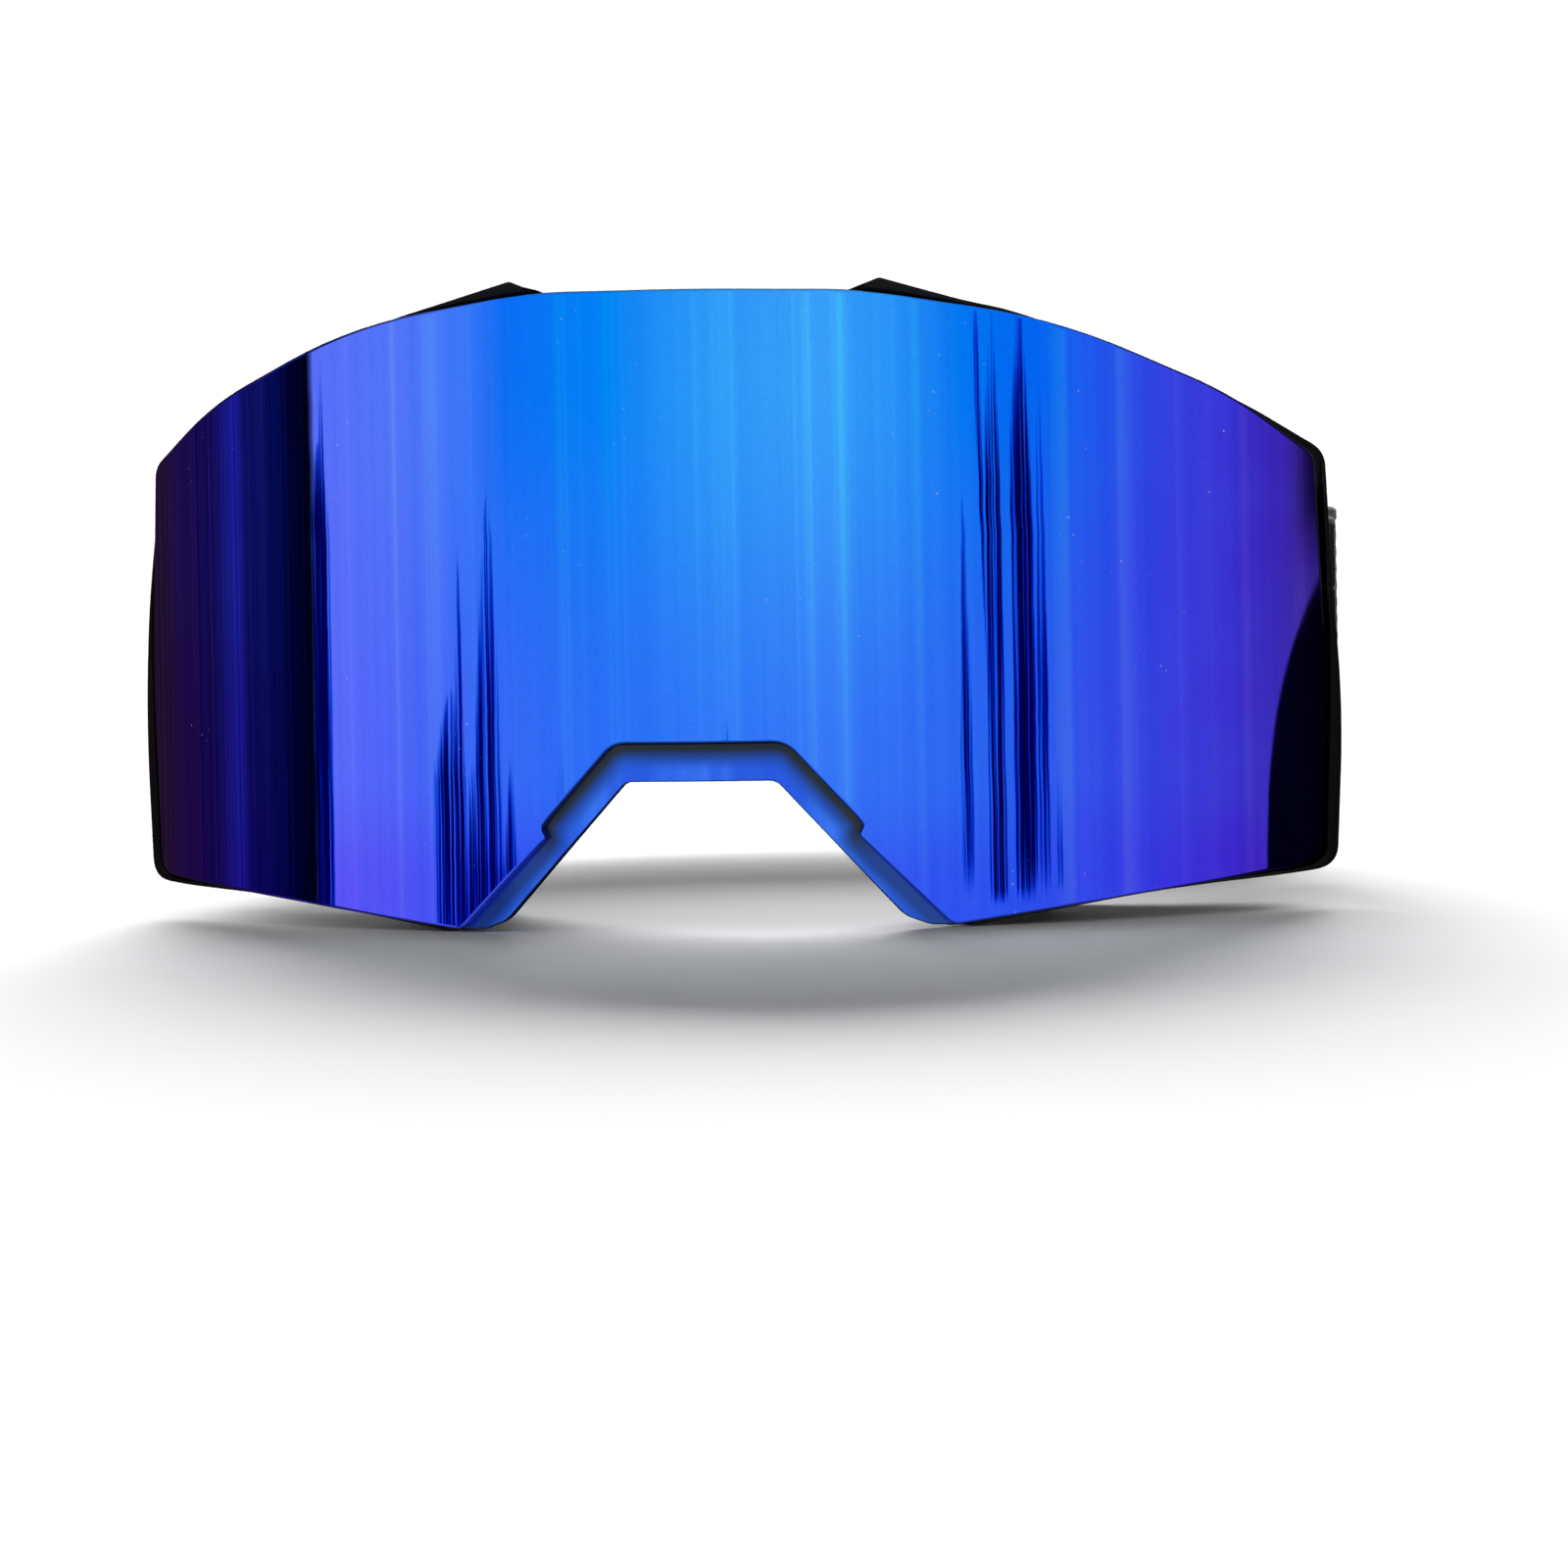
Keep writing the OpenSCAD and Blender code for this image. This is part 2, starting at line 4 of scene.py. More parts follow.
import bmesh
import bpy
from mathutils import Matrix, Vector
from mathutils.geometry import delaunay_2d_cdt
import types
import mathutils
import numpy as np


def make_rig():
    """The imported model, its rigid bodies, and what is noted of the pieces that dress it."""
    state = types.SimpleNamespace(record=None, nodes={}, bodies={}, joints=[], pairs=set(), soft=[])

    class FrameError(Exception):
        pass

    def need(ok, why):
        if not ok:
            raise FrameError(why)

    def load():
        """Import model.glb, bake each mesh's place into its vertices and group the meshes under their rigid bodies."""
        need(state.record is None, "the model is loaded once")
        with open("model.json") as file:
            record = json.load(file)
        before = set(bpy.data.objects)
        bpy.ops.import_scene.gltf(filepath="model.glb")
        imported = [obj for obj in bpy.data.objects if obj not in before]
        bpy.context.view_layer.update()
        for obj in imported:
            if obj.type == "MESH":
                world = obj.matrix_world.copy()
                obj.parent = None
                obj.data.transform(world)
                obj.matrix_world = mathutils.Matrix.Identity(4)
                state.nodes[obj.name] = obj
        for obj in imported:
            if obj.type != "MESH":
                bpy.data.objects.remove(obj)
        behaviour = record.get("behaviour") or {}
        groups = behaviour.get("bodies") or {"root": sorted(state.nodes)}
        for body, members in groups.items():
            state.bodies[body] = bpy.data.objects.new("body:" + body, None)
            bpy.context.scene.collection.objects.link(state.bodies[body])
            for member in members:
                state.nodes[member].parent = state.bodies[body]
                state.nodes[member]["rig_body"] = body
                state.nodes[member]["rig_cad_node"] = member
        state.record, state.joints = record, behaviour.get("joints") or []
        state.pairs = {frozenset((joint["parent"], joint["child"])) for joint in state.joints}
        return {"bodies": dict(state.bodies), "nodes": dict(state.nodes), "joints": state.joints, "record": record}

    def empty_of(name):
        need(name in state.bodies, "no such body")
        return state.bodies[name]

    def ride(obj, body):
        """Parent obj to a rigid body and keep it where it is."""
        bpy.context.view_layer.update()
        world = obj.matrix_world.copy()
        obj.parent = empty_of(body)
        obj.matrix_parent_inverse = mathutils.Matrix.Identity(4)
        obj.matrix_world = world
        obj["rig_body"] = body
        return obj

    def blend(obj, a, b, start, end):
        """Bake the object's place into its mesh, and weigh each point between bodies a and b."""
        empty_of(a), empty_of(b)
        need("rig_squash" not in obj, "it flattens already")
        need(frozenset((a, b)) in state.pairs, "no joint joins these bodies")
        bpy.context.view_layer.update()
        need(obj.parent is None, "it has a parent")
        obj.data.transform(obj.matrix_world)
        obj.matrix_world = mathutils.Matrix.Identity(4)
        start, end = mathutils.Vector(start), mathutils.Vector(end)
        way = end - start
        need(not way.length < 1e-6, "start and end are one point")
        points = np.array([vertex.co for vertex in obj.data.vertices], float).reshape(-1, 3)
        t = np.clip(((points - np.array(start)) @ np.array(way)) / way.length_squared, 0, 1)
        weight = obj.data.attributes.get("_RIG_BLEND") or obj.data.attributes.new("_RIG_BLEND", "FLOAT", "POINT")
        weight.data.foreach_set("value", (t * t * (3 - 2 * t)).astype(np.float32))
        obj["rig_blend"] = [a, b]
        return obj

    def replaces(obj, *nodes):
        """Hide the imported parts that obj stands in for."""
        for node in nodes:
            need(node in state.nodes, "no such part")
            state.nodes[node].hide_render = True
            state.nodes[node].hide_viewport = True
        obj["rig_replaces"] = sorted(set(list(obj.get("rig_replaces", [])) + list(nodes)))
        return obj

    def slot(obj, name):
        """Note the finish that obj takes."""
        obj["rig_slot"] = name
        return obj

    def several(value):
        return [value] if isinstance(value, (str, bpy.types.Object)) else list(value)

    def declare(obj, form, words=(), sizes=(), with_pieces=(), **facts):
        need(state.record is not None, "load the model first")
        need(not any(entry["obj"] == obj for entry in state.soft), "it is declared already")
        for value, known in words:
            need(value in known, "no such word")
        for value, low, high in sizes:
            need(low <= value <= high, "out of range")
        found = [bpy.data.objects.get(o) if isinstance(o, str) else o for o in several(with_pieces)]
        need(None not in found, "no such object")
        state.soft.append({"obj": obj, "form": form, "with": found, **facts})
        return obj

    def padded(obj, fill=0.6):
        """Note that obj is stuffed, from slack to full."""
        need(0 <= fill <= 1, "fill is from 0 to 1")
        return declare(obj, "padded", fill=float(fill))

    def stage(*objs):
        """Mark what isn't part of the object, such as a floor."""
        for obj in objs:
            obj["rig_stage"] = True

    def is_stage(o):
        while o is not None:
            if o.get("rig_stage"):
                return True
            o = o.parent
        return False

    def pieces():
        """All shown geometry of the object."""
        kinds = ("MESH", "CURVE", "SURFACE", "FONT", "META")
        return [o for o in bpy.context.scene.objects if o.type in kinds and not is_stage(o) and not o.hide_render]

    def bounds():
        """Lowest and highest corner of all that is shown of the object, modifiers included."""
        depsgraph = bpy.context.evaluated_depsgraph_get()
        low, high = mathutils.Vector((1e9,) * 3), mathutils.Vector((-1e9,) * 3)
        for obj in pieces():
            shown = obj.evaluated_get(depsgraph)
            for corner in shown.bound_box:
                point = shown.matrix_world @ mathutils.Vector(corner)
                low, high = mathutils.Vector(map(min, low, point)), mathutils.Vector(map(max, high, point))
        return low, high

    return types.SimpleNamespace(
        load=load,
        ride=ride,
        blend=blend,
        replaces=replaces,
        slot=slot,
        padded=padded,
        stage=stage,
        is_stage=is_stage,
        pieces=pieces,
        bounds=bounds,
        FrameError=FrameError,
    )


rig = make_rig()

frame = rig.load()
cad_low, cad_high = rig.bounds()

# Lengths below are millimetres in the design's own frame: X to the wearer's left, Y back from the
# middle of the lens front, Z up from the table. put() turns them into the frame's metres.
MM = 0.001
MIDDLE_Y = (cad_high.y - cad_low.y) / 2 / MM

# Cylinder that the lens follows, and the layers behind it
LENS_R = 108.0
LENS_BACK_R = 106.2
FLANGE_BACK_R = 104.2
INNER_BACK_R = 103.4
RIM_FRONT_R = 103.5
RIM_BACK_R = 99.5
LIP_FRONT_R = 107.4
LIP_BACK_R = 101.5
DRAFT = 1.1
OPENING_IN = 7.5
PANE_IN = 8.2
GASKET_W = 2.5
LENS_EDGE_R = 0.5
LEDGE_W = 5.0

# Face curve and foam
FACE_R = 95.0
FACE_Y = 34.0
SHELL_T = 1.8
SHELL_FLANGE_T = 2.0
FOAM_W = 12.0
OUTER_SHRINK = 1.5
INNER_SHRINK = 0.5
LAYERS = {
    "foam_base": (36.0, 95.0, 46.0, 93.0),
    "foam_comfort": (46.0, 93.0, 53.0, 91.0),
    "face_fleece": (53.0, 91.0, 55.0, 90.5),
}

# Vents in the shell
VENT_L = 15.0
VENT_W = 5.0
TOP_VENTS = (-44, -22, 0, 22, 44)
BOTTOM_VENTS = (50, 69)

# Strap and its hardware
STRAP_W = 40.0
STRAP_T = 1.8
STRAP_Z = 37.0
STRAP_BACK_Y = 228.0
LEAN = math.radians(8)
HINGE_X = 86.2
HINGE_Y = 79.6
PIN_R = 1.2
BAR_A = 18.5
BAR_R = 1.7
WRAP_R = 2.8
RAIL_IN = 20.6
RAIL_OUT = 24.0
BARREL_R = 3.0
KNUCKLE_HALF = 10.0
KNUCKLE_GAP = 0.3
SLIDER_A = 48.5
SLIDER_BAR_B = 1.6
SLIDER_BAR_R = 1.1
FOLD_R = 2.2
KEEPER_A = 5.6
KEEPER_B = -4.9
KEEPER_R = 0.9
SLIDER_HALF = 7.0
STRAIGHT_A = 78.0
STRAP_PULL = 48.0
SPLIT_T = 0.15
BEND_START = 76.5
BEND_END = 140.0
GRIP_LINES = 4
GRIP_T = 0.36

# Corners of each outline: x, z, corner radius, right half from the top down
RIM = [(22.5, 97.3, 1.5), (28.5, 99.6, 1.2), (50, 92.9, 60), (78.7, 78.9, 75), (90.4, 69.6, 5),
       (93.0, 31, 200), (91.9, 5.8, 3.5), (66, 3.8, 150), (41, 0, 2.5), (35.8, 0, 2.5), (13.6, 25.3, 2.5)]
BASE = [(21.5, 96.4, 2), (28, 98.6, 2), (49.5, 92.0, 60), (77.4, 77.6, 60), (86.6, 68.3, 6),
        (89.2, 33, 200), (88.4, 7.6, 4), (66, 4.8, 150), (42, 0.8, 3), (36, 0.8, 2.5), (14, 25.8, 3)]
LENS_UPPER = [(0, 98.4, 400), (26, 97.9, 80), (54.8, 92.5, 110), (79.0, 79.8, 75), (90.1, 69.5, 4),
              (91.3, 38, 200), (90.2, 6.8, 3), (66, 3.95, 150), (38, 0.25, 2.5)]
NOSE_STEP = [(24.2, 14.4, 0.8), (25, 15.9, 0.8), (24, 17.2, 1)]
NOSE_TOP = [(13.4, 28.9, 5)]
FLANGE = [(16.5, 33, 3), (28.5, 18.5, 8), (40.5, 1.2, 1), (38.5, 0.3, 1), (35.2, 0.3, 4), (31.4, 1.7, 6),
          (11.8, 22.9, 2.5)]
SHELL_FRONT = [(21.5, 95.4, 2), (28, 97.4, 3), (54, 90.8, 110), (75.6, 78.4, 60), (84, 67.4, 8),
               (85.3, 38, 100), (84.4, 10.2, 4), (42.5, 1.8, 3), (36.5, 1.8, 2.5), (15, 26.8, 3)]
SHELL_REAR = [(12, 94.2, 20), (32, 94.4, 30), (54.5, 87.8, 60), (71, 77.5, 30), (78.6, 63, 18),
              (80, 38, 80), (76.8, 12.5, 14), (48, 0, 8), (38, 0, 5), (16, 31, 9)]


# ---------------------------------------------------------------- outlines

CORNER_STEPS = 7
SIDE_STEP = 2.2
LEAST_RADIUS = 0.4


def mirrored(half):
    """The whole outline from its right half."""
    return list(half) + [(-x, z, r) for x, z, r in reversed(half) if x > 0]


def flat(p):
    return Vector((p[0], p[1]))


def ease(t):
    """A smooth rise from 0 to 1."""
    return t * t * (3 - 2 * t)


def tangent_at(corners, i):
    """How far from a corner its rounding starts."""
    a, b, d = flat(corners[i - 1]), flat(corners[i]), flat(corners[(i + 1) % len(corners)])
    reach = 0.45 * min((b - a).length, (d - b).length)
    turn = abs((b - a).angle_signed(d - b, 0.0))
    return min(reach, max(LEAST_RADIUS, corners[i][2] * math.tan(turn / 2)))


def corner_points(corners, i, steps):
    """A corner rounded by a parabola that touches both sides."""
    b, t = flat(corners[i]), tangent_at(corners, i)
    p = b + (flat(corners[i - 1]) - b).normalized() * t
    q = b + (flat(corners[(i + 1) % len(corners)]) - b).normalized() * t
    shares = [k / steps for k in range(steps + 1)]
    return [(1 - s) * (1 - s) * p + 2 * s * (1 - s) * b + s * s * q for s in shares]


def side_counts(corners):
    """The number of steps along each side of an outline, each about SIDE_STEP long."""
    lengths = [(flat(b) - flat(a)).length for a, b in zip(corners, corners[1:] + corners[:1])]
    return [max(2, round(length / SIDE_STEP)) for length in lengths]


def dense_loop(corners, counts):
    """The rounded outline with counts[i] steps along side i, so that loops of two outlines match."""
    n = len(corners)
    arcs = [corner_points(corners, i, CORNER_STEPS) for i in range(n)]
    points = []
    for i in range(n):
        a, b = arcs[i][-1], arcs[(i + 1) % n][0]
        points += arcs[i]
        points += [a.lerp(b, k / counts[i]) for k in range(1, counts[i])]
    return points


def inset(corners, d):
    """Moves every side of a clockwise outline inwards by d."""
    n = len(corners)
    moved = []
    for i in range(n):
        b = flat(corners[i])
        u = (b - flat(corners[i - 1])).normalized()
        v = (flat(corners[(i + 1) % n]) - b).normalized()
        nu, nv = Vector((u.y, -u.x)), Vector((v.y, -v.x))
        p = b + (nu + nv) * d / (1 + nu.dot(nv))
        right_turn = u.x * v.y - u.y * v.x < 0
        moved.append((p.x, p.y, max(LEAST_RADIUS, corners[i][2] + (-d if right_turn else d))))
    return moved


def outward(points):
    """The outward normal at each point of a clockwise loop."""
    n = len(points)
    normals = []
    for i in range(n):
        w = (points[(i + 1) % n] - points[i - 1]).normalized()
        normals.append(Vector((-w.y, w.x)))
    return normals


def split_corners(plain):
    """Eleven corners a side from the lens outline's ten, to match the rim's tabs and feet."""
    tab, foot, notch_top = 1, 8, 9
    before_tab, after_tab, before_foot, radius = 3.5, 2.5, 3.5, 2.0

    def along(i, j, d):
        a, b = flat(plain[i]), flat(plain[j])
        p = a + (b - a).normalized() * d
        return (p.x, p.y, radius)

    half = [along(tab, tab - 1, before_tab), along(tab, tab + 1, after_tab)] + plain[tab + 1:foot]
    half += [along(foot, foot - 1, before_foot), plain[foot], plain[notch_top]]
    return mirrored(half)


PLAIN = mirrored(LENS_UPPER + NOSE_TOP)
LENS = mirrored(LENS_UPPER + NOSE_STEP + NOSE_TOP)
COUNTS = {len(mirrored(RIM)): side_counts(mirrored(RIM)),
          len(mirrored(SHELL_FRONT)): side_counts(mirrored(SHELL_FRONT))}


def put(x, y, z):
    return Vector((x, y - MIDDLE_Y, z)) * MM


def on_cylinder(x, z, r, y_centre=LENS_R):
    """A point on an upright cylinder about y_centre."""
    return put(x, y_centre - math.sqrt(r * r - x * x), z)


def on_radius(x, z, r):
    """A point of the lens front's plan, moved along the radius to r behind the lens front."""
    return on_cylinder(x * r / LENS_R, z, r)


# ---------------------------------------------------------------- meshes

def new_object(name, mesh):
    obj = bpy.data.objects.new(name, mesh)
    bpy.context.scene.collection.objects.link(obj)
    return obj


def finish_mesh(name, bm, materials, sharp=None):
    """Makes an object from bm, smooth, with edges sharper than sharp degrees kept."""
    bmesh.ops.recalc_face_normals(bm, faces=bm.faces)
    mesh = bpy.data.meshes.new(name)
    bm.to_mesh(mesh)
    bm.free()
    mesh.polygons.foreach_set("use_smooth", [True] * len(mesh.polygons))
    if sharp is not None:
        mesh.set_sharp_from_angle(angle=math.radians(sharp))
    for m in materials:
        mesh.materials.append(m)
    return new_object(name, mesh)


def ring(name, loops, materials, sharp=40):
    """A closed tube of quads between loops of points; the last loop joins the first."""
    bm = bmesh.new()
    rows = [[bm.verts.new(p) for p in loop] for loop in loops]
    n = len(rows[0])
    for a, b in zip(rows, rows[1:] + rows[:1]):
        for i in range(n):
            j = (i + 1) % n
            bm.faces.new((a[i], a[j], b[j], b[i]))
    return finish_mesh(name, bm, materials, sharp)


def fill_inside(points, step_x, step_z):
    """Triangles inside a flat loop: the loop's own points first, then a grid inside it."""
    clearance = 0.8
    xs, zs = [p.x for p in points], [p.y for p in points]
    grid = []
    x = math.floor(min(xs) / step_x) * step_x
    while x < max(xs):
        z = math.floor(min(zs) / step_z) * step_z
        while z < max(zs):
            if all(abs(p.x - x) + abs(p.y - z) > clearance for p in points):
                grid.append(Vector((x, z)))
            z += step_z
        x += step_x
    n = len(points)
    result = delaunay_2d_cdt(list(points) + grid, [], [list(range(n))], 1, 1e-5)
    return result[0], result[2], result[3]


def plate(name, outline, r_front, r_back, edge, materials, step_x=2.0, step_z=6.0):
    """A curved plate with a rounded front edge, and normals that follow the true cylinder."""
    points = dense_loop(outline, side_counts(outline))
    normals = outward(points)
    steps, back_edge = 5, 0.2
    rows = []
    for k in range(steps + 1):
        t = math.radians(90 * (1 - k / steps))
        rows.append((edge * (1 - math.cos(t)), r_front - edge * (1 - math.sin(t)), t))
    rows.append((0.0, r_back + back_edge, 0.0))
    rows.append((back_edge, r_back, math.radians(-60)))
    verts, vert_normals, faces, face_materials = [], [], [], []
    for d, r, t in rows:
        for p, n in zip(points, normals):
            q = p - n * d
            phi = math.asin(q.x / LENS_R)
            radial = Vector((math.sin(phi), -math.cos(phi), 0))
            side = Vector((math.cos(phi) * n.x, math.sin(phi) * n.x, n.y))
            verts.append(on_radius(q.x, q.y, r))
            vert_normals.append((radial * math.sin(t) + side * math.cos(t)).normalized())
    n = len(points)
    for k in range(len(rows) - 1):
        for i in range(n):
            j = (i + 1) % n
            faces.append((k * n + i, k * n + j, (k + 1) * n + j, (k + 1) * n + i))
            face_materials.append(0)
    last = (len(rows) - 1) * n
    for base, d, r, sign in ((0, edge, r_front, 1), (last, back_edge, r_back, -1)):
        loop = [p - m * d for p, m in zip(points, normals)]
        found, triangles, sources = fill_inside(loop, step_x, step_z)
        index = {}
        for v, source in enumerate(sources):
            ring_sources = [s for s in source if s < n]
            if ring_sources:
                index[v] = base + ring_sources[0]
                continue
            phi = math.asin(found[v].x / LENS_R)
            index[v] = len(verts)
            verts.append(on_radius(found[v].x, found[v].y, r))
            vert_normals.append(Vector((math.sin(phi), -math.cos(phi), 0)) * sign)
        for triangle in triangles:
            corners = [index[v] for v in triangle]
            if len(set(corners)) == len(corners):
                faces.append(corners if sign > 0 else corners[::-1])
                face_materials.append(0 if sign > 0 else len(materials) - 1)
    mesh = bpy.data.meshes.new(name)
    mesh.from_pydata(verts, [], faces)
    for m in materials:
        mesh.materials.append(m)
    mesh.polygons.foreach_set("material_index", face_materials)
    mesh.polygons.foreach_set("use_smooth", [True] * len(mesh.polygons))
    mesh.update()
    mesh.normals_split_custom_set_from_vertices(vert_normals)
    return new_object(name, mesh)


def block(bm, outline, low, high, to_space, bevel):
    """An outline extruded from low to high, bevelled, placed by to_space(u, v, w)."""
    part = bmesh.new()
    bottom = [part.verts.new((u, v, low)) for u, v in outline]
    top = [part.verts.new((u, v, high)) for u, v in outline]
    n = len(outline)
    part.faces.new(bottom[::-1])
    part.faces.new(top)
    for i in range(n):
        j = (i + 1) % n
        part.faces.new((bottom[i], bottom[j], top[j], top[i]))
    bmesh.ops.recalc_face_normals(part, faces=part.faces)
    if bevel:
        bend = math.radians(25)
        edges = [e for e in part.edges if e.calc_face_angle(0) > bend]
        bmesh.ops.bevel(part, geom=edges, offset=bevel, segments=3, profile=0.5, affect="EDGES",
                        clamp_overlap=True)
    new = {v: bm.verts.new(to_space(*v.co)) for v in part.verts}
    for f in part.faces:
        bm.faces.new([new[v] for v in f.verts]).smooth = True
    part.free()


def circle(u, v, r, count=40):
    return [(u + r * math.cos(2 * math.pi * k / count), v + r * math.sin(2 * math.pi * k / count))
            for k in range(count)]


def rounded_rect(u0, v0, u1, v1, r, steps=5):
    centres = ((u1 - r, v1 - r, 0), (u0 + r, v1 - r, 90), (u0 + r, v0 + r, 180), (u1 - r, v0 + r, 270))
    points = []
    for cu, cv, start in centres:
        turns = [math.radians(start + 90 * k / steps) for k in range(steps + 1)]
        points += [(cu + r * math.cos(a), cv + r * math.sin(a)) for a in turns]
    return points


# ---------------------------------------------------------------- materials

def srgb(code):
    """Linear colour from a hex code."""
    values = [int(code[i:i + 2], 16) / 255 for i in (0, 2, 4)]
    return tuple(v / 12.92 if v <= 0.04045 else ((v + 0.055) / 1.055) ** 2.4 for v in values) + (1.0,)


class Nodes:
    """Short calls for building one node tree."""

    def __init__(self, tree):
        self.tree = tree
        tree.nodes.clear()

    def add(self, kind, **settings):
        node = self.tree.nodes.new(kind)
        for key, value in settings.items():
            setattr(node, key, value)
        return node

    def feed(self, socket, value):
        """Links a socket, or sets a number, a vector, a colour or a colour's hex code."""
        if isinstance(value, bpy.types.NodeSocket):
            self.tree.links.new(value, socket)
        else:
            socket.default_value = srgb(value) if isinstance(value, str) else value

    def math(self, operation, a, b=0.0, c=None, clamp=False):
        node = self.add("ShaderNodeMath", operation=operation, use_clamp=clamp)
        self.feed(node.inputs[0], a)
        self.feed(node.inputs[1], b)
        if c is not None:
            self.feed(node.inputs[2], c)
        return node.outputs[0]

    def plus(self, a, b):
        return self.math("ADD", a, b)

    def minus(self, a, b):
        return self.math("SUBTRACT", a, b)

    def times(self, a, b):
        return self.math("MULTIPLY", a, b)

    def split(self, vector):
        """The X, Y and Z of a vector."""
        node = self.add("ShaderNodeSeparateXYZ")
        self.feed(node.inputs[0], vector)
        return node.outputs

    def stretched(self, vector, scale):
        node = self.add("ShaderNodeMapping")
        self.feed(node.inputs[0], vector)
        node.inputs["Scale"].default_value = scale
        return node.outputs[0]

    def step(self, value, low, high, to_low=0.0, to_high=1.0):
        """Smooth step of value between low and high."""
        node = self.add("ShaderNodeMapRange", interpolation_type="SMOOTHSTEP")
        for k, v in enumerate((value, low, high, to_low, to_high)):
            self.feed(node.inputs[k], v)
        return node.outputs[0]

    def ramp(self, value, stops):
        """A colour for each value, from stops of a position and a hex code."""
        node = self.add("ShaderNodeValToRGB")
        elements = node.color_ramp.elements
        while len(elements) < len(stops):
            elements.new(0.5)
        for element, (position, colour) in zip(elements, stops):
            element.position = position
        for element, (position, colour) in zip(elements, stops):
            element.color = srgb(colour)
        self.feed(node.inputs[0], value)
        return node.outputs[0]

    def mix(self, factor, a, b, blend="MIX"):
        node = self.add("ShaderNodeMix", data_type="RGBA", blend_type=blend)
        self.feed(node.inputs[0], factor)
        self.feed(node.inputs[6], a)
        self.feed(node.inputs[7], b)
        return node.outputs[2]

    def noise(self, vector, scale, detail=2.0, roughness=0.5, kind="3D", w=None):
        node = self.add("ShaderNodeTexNoise", noise_dimensions=kind)
        if vector is not None:
            self.feed(node.inputs["Vector"], vector)
        if w is not None:
            self.feed(node.inputs["W"], w)
        node.inputs["Scale"].default_value = scale
        node.inputs["Detail"].default_value = detail
        node.inputs["Roughness"].default_value = roughness
        return node.outputs[0]

    def voronoi(self, vector, scale):
        node = self.add("ShaderNodeTexVoronoi", feature="F1")
        self.feed(node.inputs["Vector"], vector)
        node.inputs["Scale"].default_value = scale
        return node.outputs["Distance"]

    def bump(self, height, strength, distance):
        node = self.add("ShaderNodeBump")
        node.inputs["Strength"].default_value = strength
        node.inputs["Distance"].default_value = distance
        self.feed(node.inputs["Height"], height)
        return node.outputs[0]


def material(name, **values):
    """A new material, its node builder and its Principled shader with the given constants."""
    mat = bpy.data.materials.new(name)
    mat.use_nodes = True
    n = Nodes(mat.node_tree)
    shader = n.add("ShaderNodeBsdfPrincipled")
    output = n.add("ShaderNodeOutputMaterial")
    n.feed(output.inputs["Surface"], shader.outputs[0])
    for key, value in values.items():
        shader.inputs[key.replace("_", " ")].default_value = value
    return mat, n, shader


def place_of(n):
    """Object coordinates, which are metres in the frame."""
    return n.add("ShaderNodeTexCoord").outputs["Object"]


def mirror_coat():
    """Blue mirror coating: bright blue in the middle, violet and then purple towards the sides."""
    mat, n, shader = material("mirror_coat", Metallic=1.0)
    place = place_of(n)
    x, _, z = n.split(place)
    half_width = cad_high.x
    across = n.math("MULTIPLY_ADD", x, 0.5 / half_width, 0.5)
    upper = n.ramp(across, [
        (0.00, "4a22a8"), (0.10, "4a3ad8"), (0.17, "5c70fc"), (0.25, "5878fc"),
        (0.30, "427afc"), (0.34, "0c70f8"), (0.43, "0084f9"), (0.50, "2c9cfb"),
        (0.60, "3ca4fd"), (0.66, "2c98fb"), (0.72, "0078f5"), (0.78, "0066f3"),
        (0.82, "1e5af0"), (0.87, "3444e6"), (0.92, "3c34da"), (0.955, "3c20b8"),
        (1.00, "3c148c")])
    lower = n.ramp(across, [
        (0.00, "4a1e9c"), (0.12, "4632cc"), (0.17, "5e6bfc"), (0.24, "5468fc"),
        (0.31, "3c68f8"), (0.42, "2e6efa"), (0.50, "3478fb"), (0.60, "3a78fb"),
        (0.68, "346af6"), (0.76, "2c60f2"), (0.81, "3650ec"), (0.86, "3a42e4"),
        (0.92, "3e2ed2"), (0.96, "3e22b4"), (1.00, "3a1678")])
    coat = n.mix(n.step(z, 0.022, 0.086), lower, upper)
    violet = n.mix(1.0, coat, (1.05, 0.6, 0.97, 1.0), "MULTIPLY")
    coat = n.mix(n.step(z, 0.025, 0.006), coat, violet)
    cloud = n.noise(place, 26.0, 3.0, 0.5)
    coat = n.mix(n.step(cloud, 0.35, 0.75, 0.0, 0.10), coat, "2e86ff")
    grain = n.step(n.noise(place, 1500.0, 2.0, 0.6), 0.3, 0.7, 0.955, 1.0)
    coat = n.mix(1.0, coat, grain, "MULTIPLY")
    specks = n.voronoi(place, 420.0)
    dust = n.times(n.step(specks, 0.10, 0.04), n.step(n.noise(place, 60.0), 0.55, 0.7))
    coat = n.mix(n.times(dust, 0.4), coat, "c8d4ff")
    n.feed(shader.inputs["Base Color"], coat)
    n.feed(shader.inputs["Metallic"], n.minus(1.0, n.times(dust, 0.5)))
    n.feed(shader.inputs["Roughness"], n.step(n.noise(place, 90.0, 4.0), 0.3, 0.8, 0.006, 0.014))
    return mat


